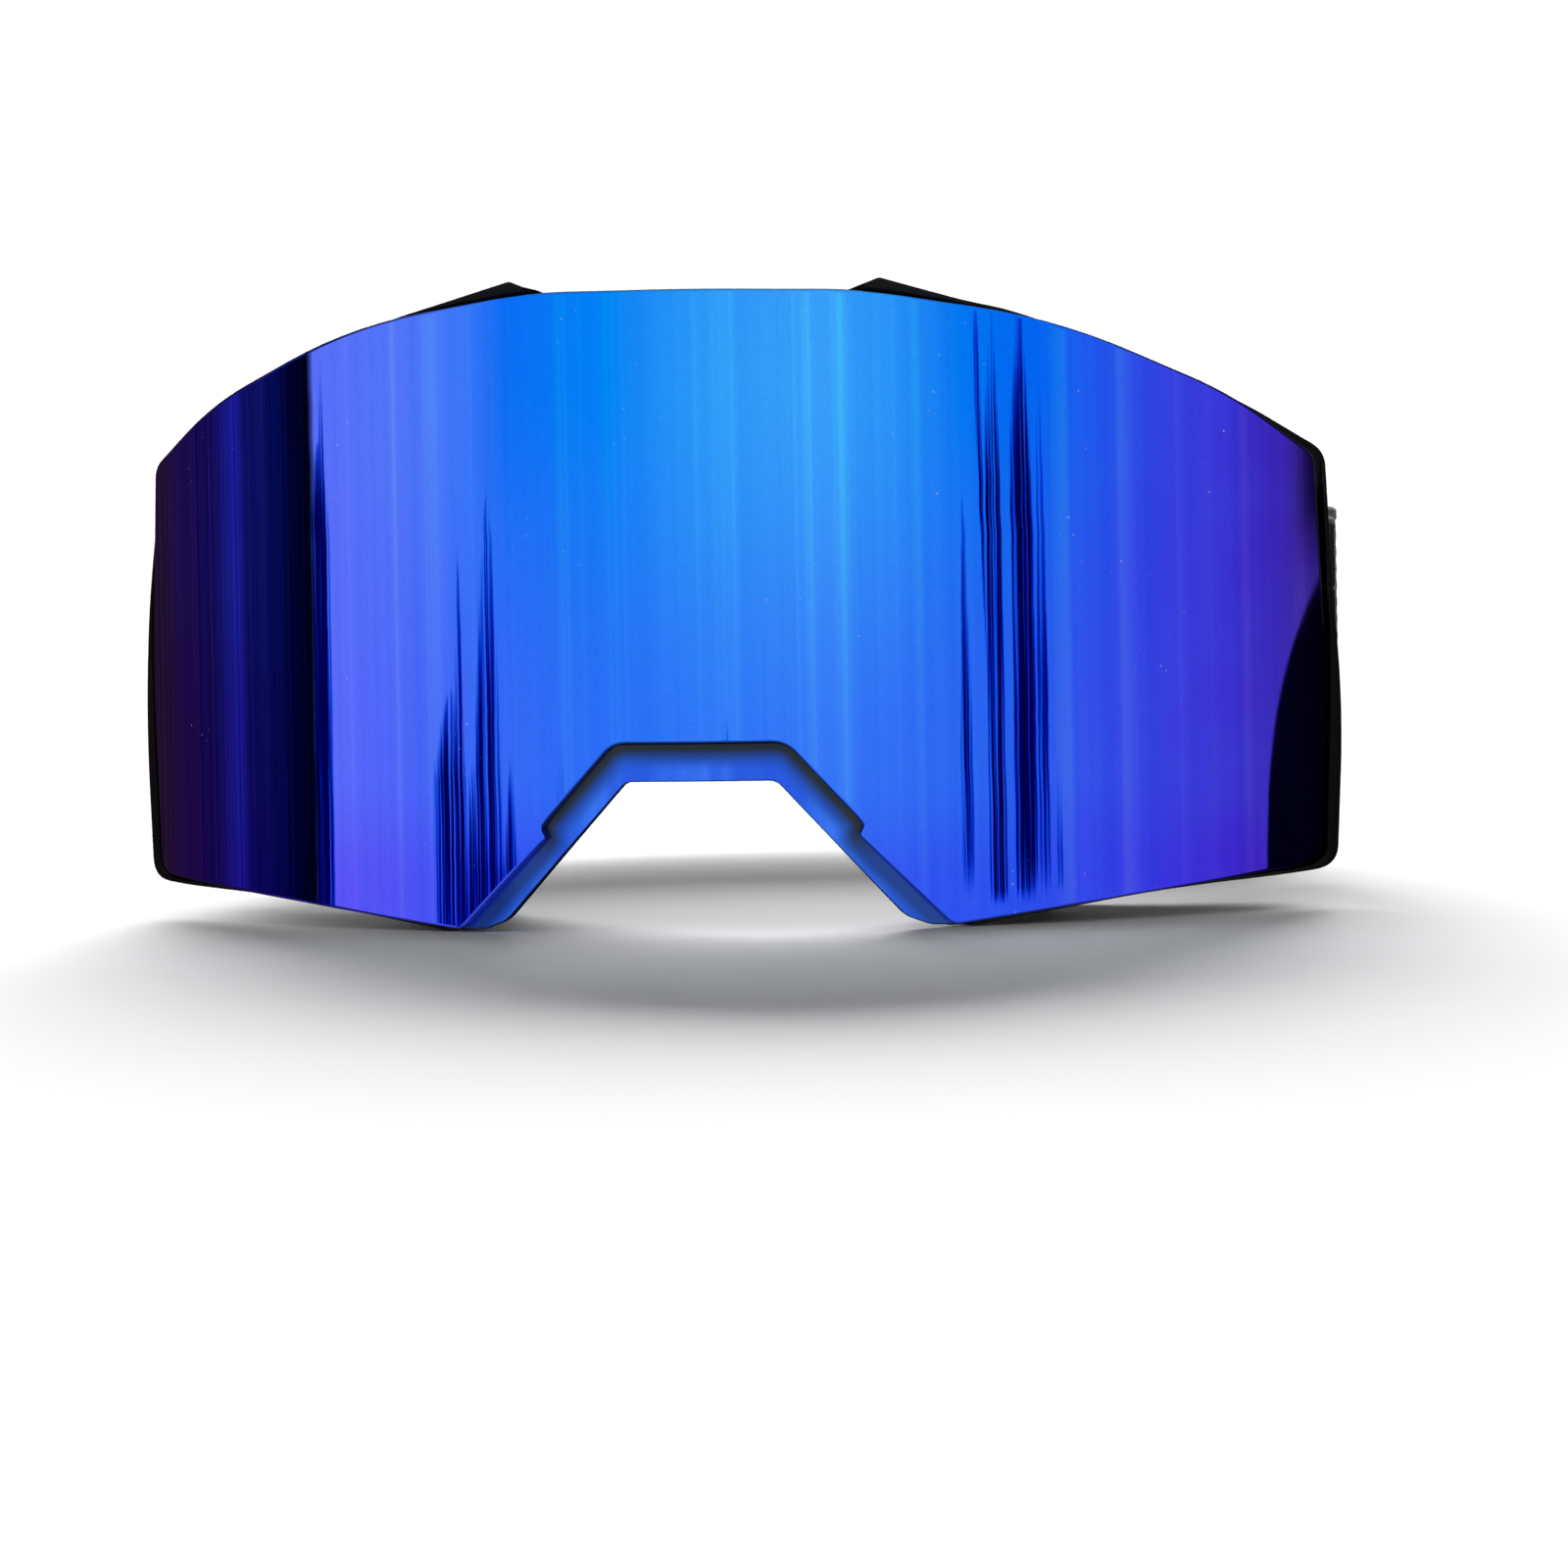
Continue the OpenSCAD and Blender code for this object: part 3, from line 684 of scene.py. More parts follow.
def flange_coat_and_painted_shade():
    """The same coating on the nose flange, with painted shade beside the lens edge: dark slate and a deeper blue that
    give way to the coating further out and towards the bottom, and a black line along the joint with the lens.
    """
    mat, n, shader = material("flange_coat_and_painted_shade", Metallic=1.0)
    place = place_of(n)
    z = n.split(place)[2]
    gap = n.add("ShaderNodeAttribute", attribute_name="from_lens").outputs["Fac"]
    streaks = n.noise(n.stretched(place, (1.0, 1.0, 0.08)), 160.0, 3.0)
    tone = n.mix(n.step(streaks, 0.35, 0.7), "2c5ce4", "3e7afa")
    # Painted shade: a deeper blue, then dark slate, towards the lens edge, lifted where the flange stands far out past
    # the edge and on its lowest part.
    tone = n.mix(n.step(gap, 0.45, 0.9), "2850b4", tone)
    lit = n.math("MAXIMUM", n.step(gap, 0.16, 0.6), n.step(z, 0.016, 0.010, 0.0, 0.6))
    tone = n.mix(lit, "2a3036", tone)
    tone = n.mix(n.step(gap, 0.02, 0.09), "030408", tone)
    n.feed(shader.inputs["Base Color"], tone)
    n.feed(shader.inputs["Roughness"], n.step(n.noise(place, 120.0, 4.0), 0.3, 0.8, 0.10, 0.22))
    n.feed(shader.inputs["Normal"], n.bump(n.noise(place, 900.0, 2.0), 0.08, 0.00003))
    return mat


def lens_tint():
    """The dark tint seen from behind the mirror."""
    mat, n, shader = material("lens_tint", Metallic=0.3)
    place = place_of(n)
    n.feed(shader.inputs["Base Color"], n.mix(n.noise(place, 30.0), "12161e", "1b2230"))
    n.feed(shader.inputs["Roughness"], n.step(n.noise(place, 70.0, 4.0), 0.3, 0.8, 0.05, 0.12))
    return mat


def clear_pane():
    """Clear acetate, very slightly uneven."""
    mat, n, shader = material("clear_pane", IOR=1.49, Base_Color=srgb("dfe6ee"), Transmission_Weight=0.96)
    n.feed(shader.inputs["Roughness"], n.step(n.noise(place_of(n), 60.0, 4.0), 0.3, 0.8, 0.01, 0.05))
    return mat


def moulded(name, colour, roughness, grain, depth, specular=0.4):
    """Moulded plastic: a fine grain, and a little variation in gloss and colour."""
    mat, n, shader = material(name, Specular_IOR_Level=specular)
    place = place_of(n)
    base = srgb(colour)
    lighter = tuple(min(1.0, c * 1.9 + 0.004) for c in base[:3]) + (1.0,)
    worn = n.step(n.noise(place, 45.0, 5.0, 0.6), 0.42, 0.78)
    n.feed(shader.inputs["Base Color"], n.mix(worn, base, lighter))
    gloss = n.noise(place, 120.0, 4.0, 0.6)
    n.feed(shader.inputs["Roughness"], n.step(gloss, 0.25, 0.8, roughness - 0.06, roughness + 0.12))
    fine = n.noise(place, grain, 3.0, 0.7)
    n.feed(shader.inputs["Normal"], n.bump(fine, 0.35, depth))
    return mat


def foam(name, dark, light, scale, depth):
    """Open-cell foam: small dark pores between lighter walls."""
    mat, n, shader = material(name, Roughness=0.95, Sheen_Weight=0.25)
    place = place_of(n)
    warp = n.add("ShaderNodeVectorMath", operation="MULTIPLY_ADD")
    n.feed(warp.inputs[0], n.noise(place, scale * 0.7, 2.0))
    warp.inputs[1].default_value = (0.0006, 0.0006, 0.0006)
    n.feed(warp.inputs[2], place)
    large = n.voronoi(warp.outputs[0], scale)
    small = n.voronoi(warp.outputs[0], scale * 2.3)
    cells = n.plus(n.times(large, 0.65), n.times(small, 0.35))
    tone = n.mix(n.step(cells, 0.62, 0.2), light, dark)
    patch = n.step(n.noise(place, 40.0, 3.0), 0.3, 0.8, 0.85, 1.15)
    n.feed(shader.inputs["Base Color"], n.mix(1.0, tone, patch, "MULTIPLY"))
    n.feed(shader.inputs["Normal"], n.bump(cells, 0.8, depth))
    return mat


def fleece():
    """Short pile: tiny fibres that catch light at the edges."""
    mat, n, shader = material("fleece", Roughness=0.9, Sheen_Weight=0.7, Sheen_Roughness=0.4,
                              Sheen_Tint=srgb("9a9aa8"))
    place = place_of(n)
    pile = n.noise(place, 2600.0, 3.0, 0.7)
    clumps = n.noise(place, 420.0, 4.0, 0.65)
    tone = n.mix(n.step(clumps, 0.3, 0.75), "141418", "2b2b31")
    tone = n.mix(n.step(pile, 0.55, 0.8), tone, "44444c")
    n.feed(shader.inputs["Base Color"], tone)
    height = n.plus(n.times(pile, 0.5), clumps)
    n.feed(shader.inputs["Normal"], n.bump(height, 0.9, 0.0005))
    return mat


def webbing(name, dark, light):
    """Woven elastic: fine lengthwise ribs crossed by weft picks, in the strap's own length and width."""
    mat, n, shader = material(name, Roughness=0.82, Sheen_Weight=0.35, Sheen_Roughness=0.5)
    uv = n.add("ShaderNodeUVMap", uv_map="along")
    length, width = n.split(uv.outputs[0])[:2]
    wobble = n.times(n.minus(n.noise(uv.outputs[0], 0.6, 2.0), 0.5), 0.35)
    end_pitch, pick_pitch = 0.9, 0.8
    ends = n.math("SINE", n.times(n.plus(width, wobble), 2 * math.pi / end_pitch))
    picks = n.math("SINE", n.times(n.plus(length, wobble), 2 * math.pi / pick_pitch))
    cross = n.times(ends, picks)
    height = n.plus(n.times(cross, 0.5), n.times(ends, 0.35))
    fibre = n.noise(uv.outputs[0], 14.0, 3.0, 0.7)
    tone = n.mix(n.step(height, -0.7, 0.7), dark, light)
    tone = n.mix(n.step(fibre, 0.5, 0.85, 0.0, 0.5), tone, "3c3d45")
    n.feed(shader.inputs["Base Color"], tone)
    total = n.plus(height, n.times(fibre, 0.5))
    n.feed(shader.inputs["Normal"], n.bump(total, 0.7, 0.00022))
    return mat


def metal(name, colour, roughness, stretch):
    """Metal with fine turning marks, drawn out by stretch."""
    mat, n, shader = material(name, Metallic=1.0)
    lines = n.noise(n.stretched(place_of(n), stretch), 900.0, 4.0, 0.7)
    n.feed(shader.inputs["Base Color"], n.mix(n.step(lines, 0.3, 0.8, 0.0, 0.25), colour, "8a8880"))
    n.feed(shader.inputs["Roughness"], n.step(lines, 0.2, 0.8, roughness, roughness + 0.15))
    n.feed(shader.inputs["Normal"], n.bump(lines, 0.2, 0.00002))
    return mat


def silicone():
    """Soft, slightly glossy silicone."""
    mat, n, shader = material("silicone", Roughness=0.32, Coat_Weight=0.3)
    place = place_of(n)
    n.feed(shader.inputs["Base Color"], n.mix(n.noise(place, 300.0, 3.0), "3c4048", "555a64"))
    n.feed(shader.inputs["Normal"], n.bump(n.noise(place, 700.0, 3.0), 0.3, 0.0001))
    return mat


M = {
    "mirror": mirror_coat(),
    "flange": flange_coat_and_painted_shade(),
    "tint": lens_tint(),
    "pane": clear_pane(),
    "rim": moulded("rim_plastic", "060609", 0.42, 1400.0, 0.00005, 0.12),
    "carrier": moulded("carrier_plastic", "101014", 0.42, 1400.0, 0.00004),
    "shell": moulded("shell_tpu", "141417", 0.58, 1700.0, 0.00012),
    "hardware": moulded("hardware_plastic", "121216", 0.40, 1500.0, 0.00007),
    "slider": moulded("slider_plastic", "17171b", 0.44, 1500.0, 0.00007),
    "gasket": foam("gasket_foam", "050506", "141416", 1500.0, 0.0002),
    "vent": foam("vent_foam", "060607", "2a2a2e", 520.0, 0.0008),
    "firm": foam("firm_foam", "0a0a0c", "26262a", 1100.0, 0.0004),
    "soft": foam("soft_foam", "26262a", "57575e", 900.0, 0.0005),
    "fleece": fleece(),
    "strap": webbing("strap_webbing", "08080b", "1d1d22"),
    "thread": webbing("thread", "24242a", "4c4c55"),
    "steel": metal("pin_steel", "3c3c40", 0.30, (1, 1, 0.05)),
    "nickel": metal("magnet_nickel", "c8c4b8", 0.18, (1, 1, 1)),
    "silicone": silicone(),
}


# ---------------------------------------------------------------- lens

def finish_piece(obj, body, slot, *nodes):
    """Puts a piece on its body in place of its nodes."""
    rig.ride(obj, body)
    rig.slot(obj, slot)
    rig.replaces(obj, *nodes)


def make_lens():
    """The mirrored lens, which casts no blue on the table, the clear lens and the nose flange."""
    lens = plate("outer_lens_shape", LENS, LENS_R, LENS_BACK_R, LENS_EDGE_R, [M["mirror"], M["tint"]])
    lens.visible_diffuse = False
    finish_piece(lens, "lens", "mirror_lens", "outer_lens")
    inner = plate("inner_lens_shape", inset(PLAIN, PANE_IN), FLANGE_BACK_R, INNER_BACK_R, 0.15, [M["pane"]])
    finish_piece(inner, "lens", "clear_pane", "inner_lens")
    flange = plate("nose_flange_shape", mirrored(FLANGE), LENS_BACK_R, FLANGE_BACK_R, 0.3,
                   [M["flange"], M["tint"]], 0.8, 0.8)
    measure_from_lens(flange)
    finish_piece(flange, "lens", "mirror_trim", "nose_flange")


def measure_from_lens(flange):
    """Stores how far each point of the flange stands out past the lens edge, as a share of LEDGE_W."""
    edge = dense_loop(LENS, side_counts(LENS))
    normals = outward(edge)
    values = []
    for v in flange.data.vertices:
        p = Vector((v.co.x / MM, v.co.z / MM))
        k = min(range(len(edge)), key=lambda i: (edge[i] - p).length_squared)
        out = (p - edge[k]).dot(normals[k])
        values.append(max(0.0, min(1.0, out / LEDGE_W)))
    attribute = flange.data.attributes.new("from_lens", "FLOAT", "POINT")
    attribute.data.foreach_set("value", values)


# ---------------------------------------------------------------- rim

def plan_loop(corners, d=0.0):
    return dense_loop(inset(corners, d), COUNTS[len(corners)])


def at_radius(points, r):
    """The points on a cylinder about the lens axis. r is one radius or one for each point."""
    radii = r if isinstance(r, list) else [r] * len(points)
    return [on_cylinder(p.x, p.y, q) for p, q in zip(points, radii)]


def moved(points, normals, d):
    """The points of a loop, moved inwards by d."""
    return [p - m * d for p, m in zip(points, normals)]


def lip_plan(outer, n_outer):
    """The lip's inner loop, and its share of the full height at each point."""
    notch_x, notch_top = 39.0, 60.0
    least, full, lowest = 0.5, 0.7, 0.03
    inner, lift = [], []
    for p, q, n in zip(outer, plan_loop(split_corners(PLAIN), -0.25), n_outer):
        room = (p - q).dot(n)
        in_notch = abs(p.x) < notch_x and p.y < notch_top
        inner.append(q if room > least or in_notch else p - n * least)
        fade = 0.0 if in_notch else min(1.0, max(0.0, room / full))
        lift.append(max(lowest, ease(fade)))
    return inner, lift


def rim_loops():
    """The rim's section: a base, and a lip round the lens that dies away where the lens covers it."""
    outer = plan_loop(mirrored(RIM))
    base = plan_loop(mirrored(BASE))
    opening = plan_loop(split_corners(inset(PLAIN, OPENING_IN)))
    n_outer, n_base, n_open = outward(outer), outward(base), outward(opening)
    inner, lift = lip_plan(outer, n_outer)

    def lip(points, r):
        return at_radius(points, [RIM_FRONT_R + (r - RIM_FRONT_R) * w for w in lift])

    lip_edge = 0.36
    front = moved(outer, n_outer, lip_edge)
    gap = [p + m * 0.2 for p, m in zip(inner, n_outer)]
    crest = [a if (b - a).dot(m) > 0.1 else b - m * 0.1 for a, b, m in zip(gap, front, n_outer)]
    rounded = [p + m * 0.3 for p, m in zip(opening, n_open)]
    return [
        at_radius(moved(base, n_base, 0.5), RIM_BACK_R),
        at_radius(moved(base, n_base, 0.15), RIM_BACK_R + 0.15),
        at_radius(base, RIM_BACK_R + 0.5),
        at_radius(base, LIP_BACK_R - 0.1),
        at_radius(moved(outer, n_outer, DRAFT + 0.5), LIP_BACK_R),
        at_radius(moved(outer, n_outer, DRAFT + 0.15), LIP_BACK_R + 0.15),
        at_radius(moved(outer, n_outer, DRAFT), LIP_BACK_R + 0.5),
        lip(outer, LIP_FRONT_R - 0.4),
        lip(moved(outer, n_outer, 0.05), LIP_FRONT_R - 0.18),
        lip(moved(outer, n_outer, 0.18), LIP_FRONT_R - 0.04),
        lip(front, LIP_FRONT_R),
        lip(crest, LIP_FRONT_R),
        lip(inner, LIP_FRONT_R - 0.2),
        lip(inner, RIM_FRONT_R + 0.05),
        at_radius([p.lerp(q, 0.5) for p, q in zip(inner, opening)], RIM_FRONT_R),
        at_radius(rounded, RIM_FRONT_R),
        at_radius(opening, RIM_FRONT_R - 0.3),
        at_radius(opening, RIM_BACK_R + 0.3),
        at_radius(rounded, RIM_BACK_R),
    ]


def make_rim():
    rim = ring("frame_rim_shape", rim_loops(), [M["rim"]], 50)
    finish_piece(rim, "frame", "rim_plastic", "frame_rim")


def make_gasket():
    """The foam tape between the two lenses."""
    outer = plan_loop(split_corners(inset(PLAIN, PANE_IN)))
    inner = plan_loop(split_corners(inset(PLAIN, PANE_IN + GASKET_W)))
    back, front = FLANGE_BACK_R, LENS_BACK_R - 0.02
    corners = ((outer, back), (outer, front), (inner, front), (inner, back))
    loops = [at_radius(points, r) for points, r in corners]
    gasket = ring("lens_gasket_shape", loops, [M["gasket"]], 40)
    finish_piece(gasket, "lens", "gasket_foam", "lens_gasket")


# ---------------------------------------------------------------- face shell and foam

def face_points(d, y, r):
    """The face outline, moved inwards by d, on a cylinder of radius r that touches y."""
    return [on_cylinder(p.x, p.y, r, y + r) for p in plan_loop(mirrored(SHELL_REAR), d)]


def wall(d, s, bulge=0.0):
    """A loop of the shell's wall: s is 0 at the rim and 1 at the face, bulge moves it outwards."""
    front_plan = plan_loop(mirrored(SHELL_FRONT), d)
    rear_plan = plan_loop(mirrored(SHELL_REAR), d)
    front = at_radius(front_plan, RIM_BACK_R)
    rear = face_points(d, FACE_Y, FACE_R)
    normals = outward([p.lerp(q, s) for p, q in zip(front_plan, rear_plan)])
    return [a.lerp(b, s) + Vector((n.x, 0, n.y)) * bulge * MM for a, b, n in zip(front, rear, normals)]


def make_shell():
    """The soft shell, with a groove behind the rim and another before the face flange."""
    rim_groove = [(0.0, -0.3), (0.015, 0.0), (0.05, 0.0), (0.07, -0.5), (0.1, -0.6), (0.13, -0.5),
                  (0.15, 0.0)]
    plain = [(0.15 + 0.7 * k / 12, 0.0) for k in range(1, 12)]
    face_groove = [(0.85, 0.0), (0.87, -0.45), (0.9, -0.5), (0.92, -0.1), (0.95, 0.2), (1.0, 0.2)]
    outside = [wall(0, s, bulge) for s, bulge in rim_groove + plain + face_groove]
    inside = [wall(SHELL_T, k / 8) for k in range(8, -1, -1)]
    flange_y = FACE_Y + SHELL_FLANGE_T
    loops = outside + [
        face_points(-0.1, flange_y - 0.5, FACE_R),
        face_points(0.3, flange_y, FACE_R),
        face_points(FOAM_W - 0.4, flange_y, FACE_R),
        face_points(FOAM_W, flange_y - 0.4, FACE_R),
        face_points(FOAM_W, FACE_Y + 0.4, FACE_R),
        face_points(FOAM_W - 0.4, FACE_Y, FACE_R)] + inside
    shell = ring("face_shell_shape", loops, [M["shell"]], 35)
    cut_vents(shell)
    finish_piece(shell, "frame", "shell_tpu", "face_shell")


def wall_middle(x):
    """Distance back of the middle of the shell's wall at x."""
    front = LENS_R - math.sqrt(RIM_BACK_R ** 2 - x * x)
    rear = FACE_Y + FACE_R - math.sqrt(FACE_R ** 2 - x * x)
    return (front + rear) / 2


def cut_vents(shell):
    """Cuts the vents along the top and under the cheeks, each a slot with round ends."""
    bm = bmesh.new()
    slot = rounded_rect(-VENT_L / 2, -VENT_W / 2, VENT_L / 2, VENT_W / 2, VENT_W / 2 - 0.01, 8)
    cuts = [(x, 60.0, 110.0) for x in TOP_VENTS]
    cuts += [(side * x, -10.0, 40.0) for side in (-1, 1) for x in BOTTOM_VENTS]
    for x, low, high in cuts:
        slant = math.atan((wall_middle(x + 1) - wall_middle(x - 1)) / 2)
        c, s = math.cos(slant), math.sin(slant)

        def in_place(u, v, w, x=x, c=c, s=s):
            return put(x + u * c - v * s, wall_middle(x) + u * s + v * c, w)
        block(bm, slot, low, high, in_place, 0)
    cutter = finish_mesh("vent_cutter", bm, [M["shell"]])
    cut = shell.modifiers.new("vents", "BOOLEAN")
    cut.operation = "DIFFERENCE"
    cut.solver = "EXACT"
    cut.object = cutter
    evaluated = shell.evaluated_get(bpy.context.evaluated_depsgraph_get())
    mesh = bpy.data.meshes.new_from_object(evaluated)
    shell.modifiers.clear()
    shell.data = mesh
    bpy.data.objects.remove(cutter)
    mesh.set_sharp_from_angle(angle=math.radians(35))


def make_foam():
    """Each foam layer is a ring with sides that bulge a little and rounded edges on the face side."""
    looks = {"foam_base": ("firm", "firm_foam", 0.35), "foam_comfort": ("soft", "soft_foam", 0.8),
             "face_fleece": ("fleece", "fleece", 0.5)}
    gap = 0.05
    for k, (node, (y0, r0, y1, r1)) in enumerate(LAYERS.items()):
        mat, slot, bulge = looks[node]
        depth = y1 - y0
        edge = min(1.2, depth * 0.45)

        def side(d0, d1, way):
            """Loops up one side and round its edge; way is 1 outside the ring and -1 inside it."""
            rows = []
            for t in (0.0, 0.12, 0.3, 0.5, 0.7, 0.88, 1.0):
                swell = bulge * math.sin(math.pi * t) ** 0.6 if 0 < t < 1 else 0.0
                y = y0 + gap + (depth - edge - gap) * t
                rows.append(face_points(d0 + (d1 - d0) * t - way * swell, y, r0 + (r1 - r0) * t))
            for a in (30, 60, 90):
                c, s = math.cos(math.radians(a)), math.sin(math.radians(a))
                rows.append(face_points(d1 + way * edge * (1 - c), y1 - edge * (1 - s) - gap, r1))
            return rows

        o0, o1 = k * OUTER_SHRINK, (k + 1) * OUTER_SHRINK
        i0, i1 = FOAM_W + k * INNER_SHRINK, FOAM_W + (k + 1) * INNER_SHRINK
        crown = [face_points((o1 + i1) / 2, y1 - gap, r1)]
        loops = side(o0, o1, 1) + crown + side(i0, i1, -1)[::-1]
        piece = ring(node + "_shape", loops, [M[mat]], None)
        finish_piece(piece, "frame", slot, node)
        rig.padded(piece, fill=0.9)


# ---------------------------------------------------------------- strap

def from_hinge(b, a):
    """Plan position of a point b outwards and a back along the strap from the left hinge."""
    return Vector((HINGE_X + b * math.cos(LEAN) - a * math.sin(LEAN),
                   HINGE_Y + b * math.sin(LEAN) + a * math.cos(LEAN)))


def back_curve(t):
    """The strap's plan from the end of its straight run, t = 0, to the middle of the back, t = 1."""
    p0, p1 = from_hinge(-WRAP_R, STRAIGHT_A), from_hinge(-WRAP_R, STRAIGHT_A + STRAP_PULL)
    p2, p3 = Vector((STRAP_PULL, STRAP_BACK_Y)), Vector((0, STRAP_BACK_Y))
    u = 1 - t
    return u ** 3 * p0 + 3 * u * u * t * p1 + 3 * u * t * t * p2 + t ** 3 * p3


def curve_run(start, end, count):
    return [back_curve(start + (end - start) * k / count) for k in range(count + 1)]


def strap_section():
    """The strap's section: height and side offset, with a rolled edge and shallow lengthwise ribs."""
    half, thick = STRAP_W / 2, STRAP_T / 2
    selvage_w, groove_w, selvage_h, groove_h = 2.2, 0.7, 0.14, 0.16
    rib_h, rib_pitch = 0.05, 2.6
    across = []
    count = 64
    for k in range(count + 1):
        z = -half + 0.5 + (STRAP_W - 1.0) * k / count
        edge_gap = half - abs(z)
        t = thick - selvage_h
        if edge_gap < selvage_w:
            t += selvage_h
        elif edge_gap < selvage_w + groove_w:
            t -= groove_h
        elif edge_gap > selvage_w + groove_w + 0.1:
            t += rib_h * math.cos(2 * math.pi * z / rib_pitch)
        across.append((z, t))
    z, t = half - 0.12, thick * 0.55
    section = across + [(z, t), (half, 0.0), (z, -t)]
    section += [(w, -h) for w, h in reversed(across)]
    section += [(-z, -t), (-half, 0.0), (-z, t)]
    return section


SECTION = strap_section()


def run_length(path):
    return sum((b - a).length for a, b in zip(path, path[1:]))


def ribbon(bm, path, section, z_mid, to_space, start_length=0.0, way=1):
    """Sweeps a section along a plan path and caps its ends. The UV map holds its length and width."""
    uv = bm.loops.layers.uv.get("along") or bm.loops.layers.uv.new("along")
    rows, lengths, total = [], [], start_length
    for i, p in enumerate(path):
        w = (path[min(i + 1, len(path) - 1)] - path[max(i - 1, 0)]).normalized()
        side = Vector((-w.y, w.x))
        if i:
            total += way * (p - path[i - 1]).length
        lengths.append(total)
        row = [(p + side * t, z_mid + z) for z, t in section]
        rows.append([bm.verts.new(to_space(q.x, q.y, z)) for q, z in row])
    n = len(section)
    for k in range(len(rows) - 1):
        for i in range(n):
            j = (i + 1) % n
            face = bm.faces.new((rows[k][i], rows[k][j], rows[k + 1][j], rows[k + 1][i]))
            for loop, (row, col) in zip(face.loops, ((k, i), (k, j), (k + 1, j), (k + 1, i))):
                loop[uv].uv = (lengths[row], section[col][0] + 50)
    bm.faces.new(rows[0])
    bm.faces.new(rows[-1][::-1])


def smooth_path(points, step=1.5):
    """Resamples a polyline at an even step."""
    lengths = [0.0]
    for a, b in zip(points, points[1:]):
        lengths.append(lengths[-1] + (b - a).length)
    count = max(2, round(lengths[-1] / step))
    result, k = [], 0
    for i in range(count + 1):
        target = lengths[-1] * i / count
        while k < len(lengths) - 2 and lengths[k + 1] < target:
            k += 1
        share = (target - lengths[k]) / max(1e-9, lengths[k + 1] - lengths[k])
        result.append(points[k].lerp(points[k + 1], min(1.0, share)))
    return result


def side_space(side, base=0.0):
    """Plan millimetres, with heights from base, to the frame's metres, mirrored for the right side."""
    return lambda x, y, z: put(side * x, y, base + z)


def hinge_space(side):
    """Millimetres across, back and up from the hinge's middle to the frame's metres."""
    def place(b, a, z):
        p = from_hinge(b, a)
        return put(side * p.x, p.y, STRAP_Z + z)
    return place


def arc(cx, cy, r, a0, a1, count):
    turns = [math.radians(a0 + (a1 - a0) * k / count) for k in range(count + 1)]
    return [Vector((cx + r * math.cos(a), cy + r * math.sin(a))) for a in turns]


def loop_path():
    """Round the outrigger's bar, back to the slider's bar, and its sewn tail, in the hinge's frame."""
    fold_b = SLIDER_BAR_B - FOLD_R
    tail_b = fold_b + STRAP_T + 0.05
    slope_a, slope_run, slope_steps = BAR_A + 2, 13, 16
    tail_run, tail_steps = 10, 12
    path = arc(0, BAR_A, WRAP_R, 180, 360, 24)
    for k in range(1, slope_steps + 1):
        s = k / slope_steps
        path.append(Vector((WRAP_R + (fold_b - WRAP_R) * ease(s), slope_a + slope_run * s)))
    path += arc(SLIDER_BAR_B, SLIDER_A, FOLD_R, -180, -360, 20)
    top = SLIDER_BAR_B + FOLD_R
    for k in range(1, tail_steps + 1):
        s = k / tail_steps
        path.append(Vector((top + (tail_b - top) * ease(min(1, 1.3 * s)), SLIDER_A - tail_run * s)))
    return path


def thread_line(bm, start, end, outward_dir, to_space):
    """A row of stitches from start to end; each is a short arched thread."""
    pitch, r, rise, sides, steps = 2.4, 0.28, 0.28, 6, 4
    run = end - start
    count = max(1, round(run.length / pitch))
    across = run.normalized().cross(outward_dir).normalized()
    turns = [2 * math.pi * q / sides for q in range(sides)]
    for k in range(count):
        a = start + run * ((k + 0.1) / count)
        b = start + run * ((k + 0.9) / count)
        rows = []
        for i in range(steps + 1):
            s = i / steps
            centre = a.lerp(b, s) + outward_dir * (rise * math.sin(math.pi * s) - 0.12)
            points = [centre + across * r * math.cos(w) + outward_dir * r * math.sin(w) for w in turns]
            rows.append([bm.verts.new(to_space(*p)) for p in points])
        faces = [bm.faces.new(rows[0]), bm.faces.new(rows[-1])]
        for p, q in zip(rows, rows[1:]):
            for i in range(sides):
                j = (i + 1) % sides
                faces.append(bm.faces.new((p[i], p[j], q[j], q[i])))
        for face in faces:
            face.material_index = 1


def strap_piece(name, node, bm, materials):
    piece = finish_mesh(name, bm, materials, 50)
    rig.slot(piece, "strap_webbing")
    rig.replaces(piece, node)
    return piece


def make_strap():
    """The band's two halves and the side runs bend with the outriggers between BEND_START and BEND_END."""
    path = smooth_path(curve_run(SPLIT_T, 1, 150))
    side_run = smooth_path([from_hinge(-WRAP_R, BAR_A), from_hinge(-WRAP_R, STRAIGHT_A - 4)]
                           + curve_run(0, SPLIT_T, 24))
    side_length = run_length(side_run)
    whole_length = 2 * (side_length + run_length(path))
    for name, side in (("left", 1), ("right", -1)):
        start_length = 0.0 if side > 0 else whole_length
        place = hinge_space(side)
        bend_start, bend_end = place(-WRAP_R, BEND_START, 0), place(-WRAP_R, BEND_END, 0)
        for shape, node, run, length in (
                (f"strap_end_{name}_shape", f"strap_end_{name}", side_run, start_length),
                (f"strap_band_{name}_shape", "strap_band", path, start_length + side * side_length)):
            bm = bmesh.new()
            ribbon(bm, run, SECTION, STRAP_Z, side_space(side), length, side)
            piece = strap_piece(shape, node, bm, [M["strap"]])
            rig.blend(piece, f"outrigger_{name}", "frame", start=bend_start, end=bend_end)
        loop = bmesh.new()
        ribbon(loop, smooth_path(loop_path(), 0.7), SECTION, 0, place)
        add_tail_stitches(loop, place)
        node = f"strap_loop_{name}"
        piece = strap_piece(node + "_shape", node, loop, [M["strap"], M["thread"]])
        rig.blend(piece, f"outrigger_{name}", f"slider_{name}", start=place(0, BAR_A + 5, 0),
                 end=place(0, SLIDER_A - 11, 0))
    make_grip()


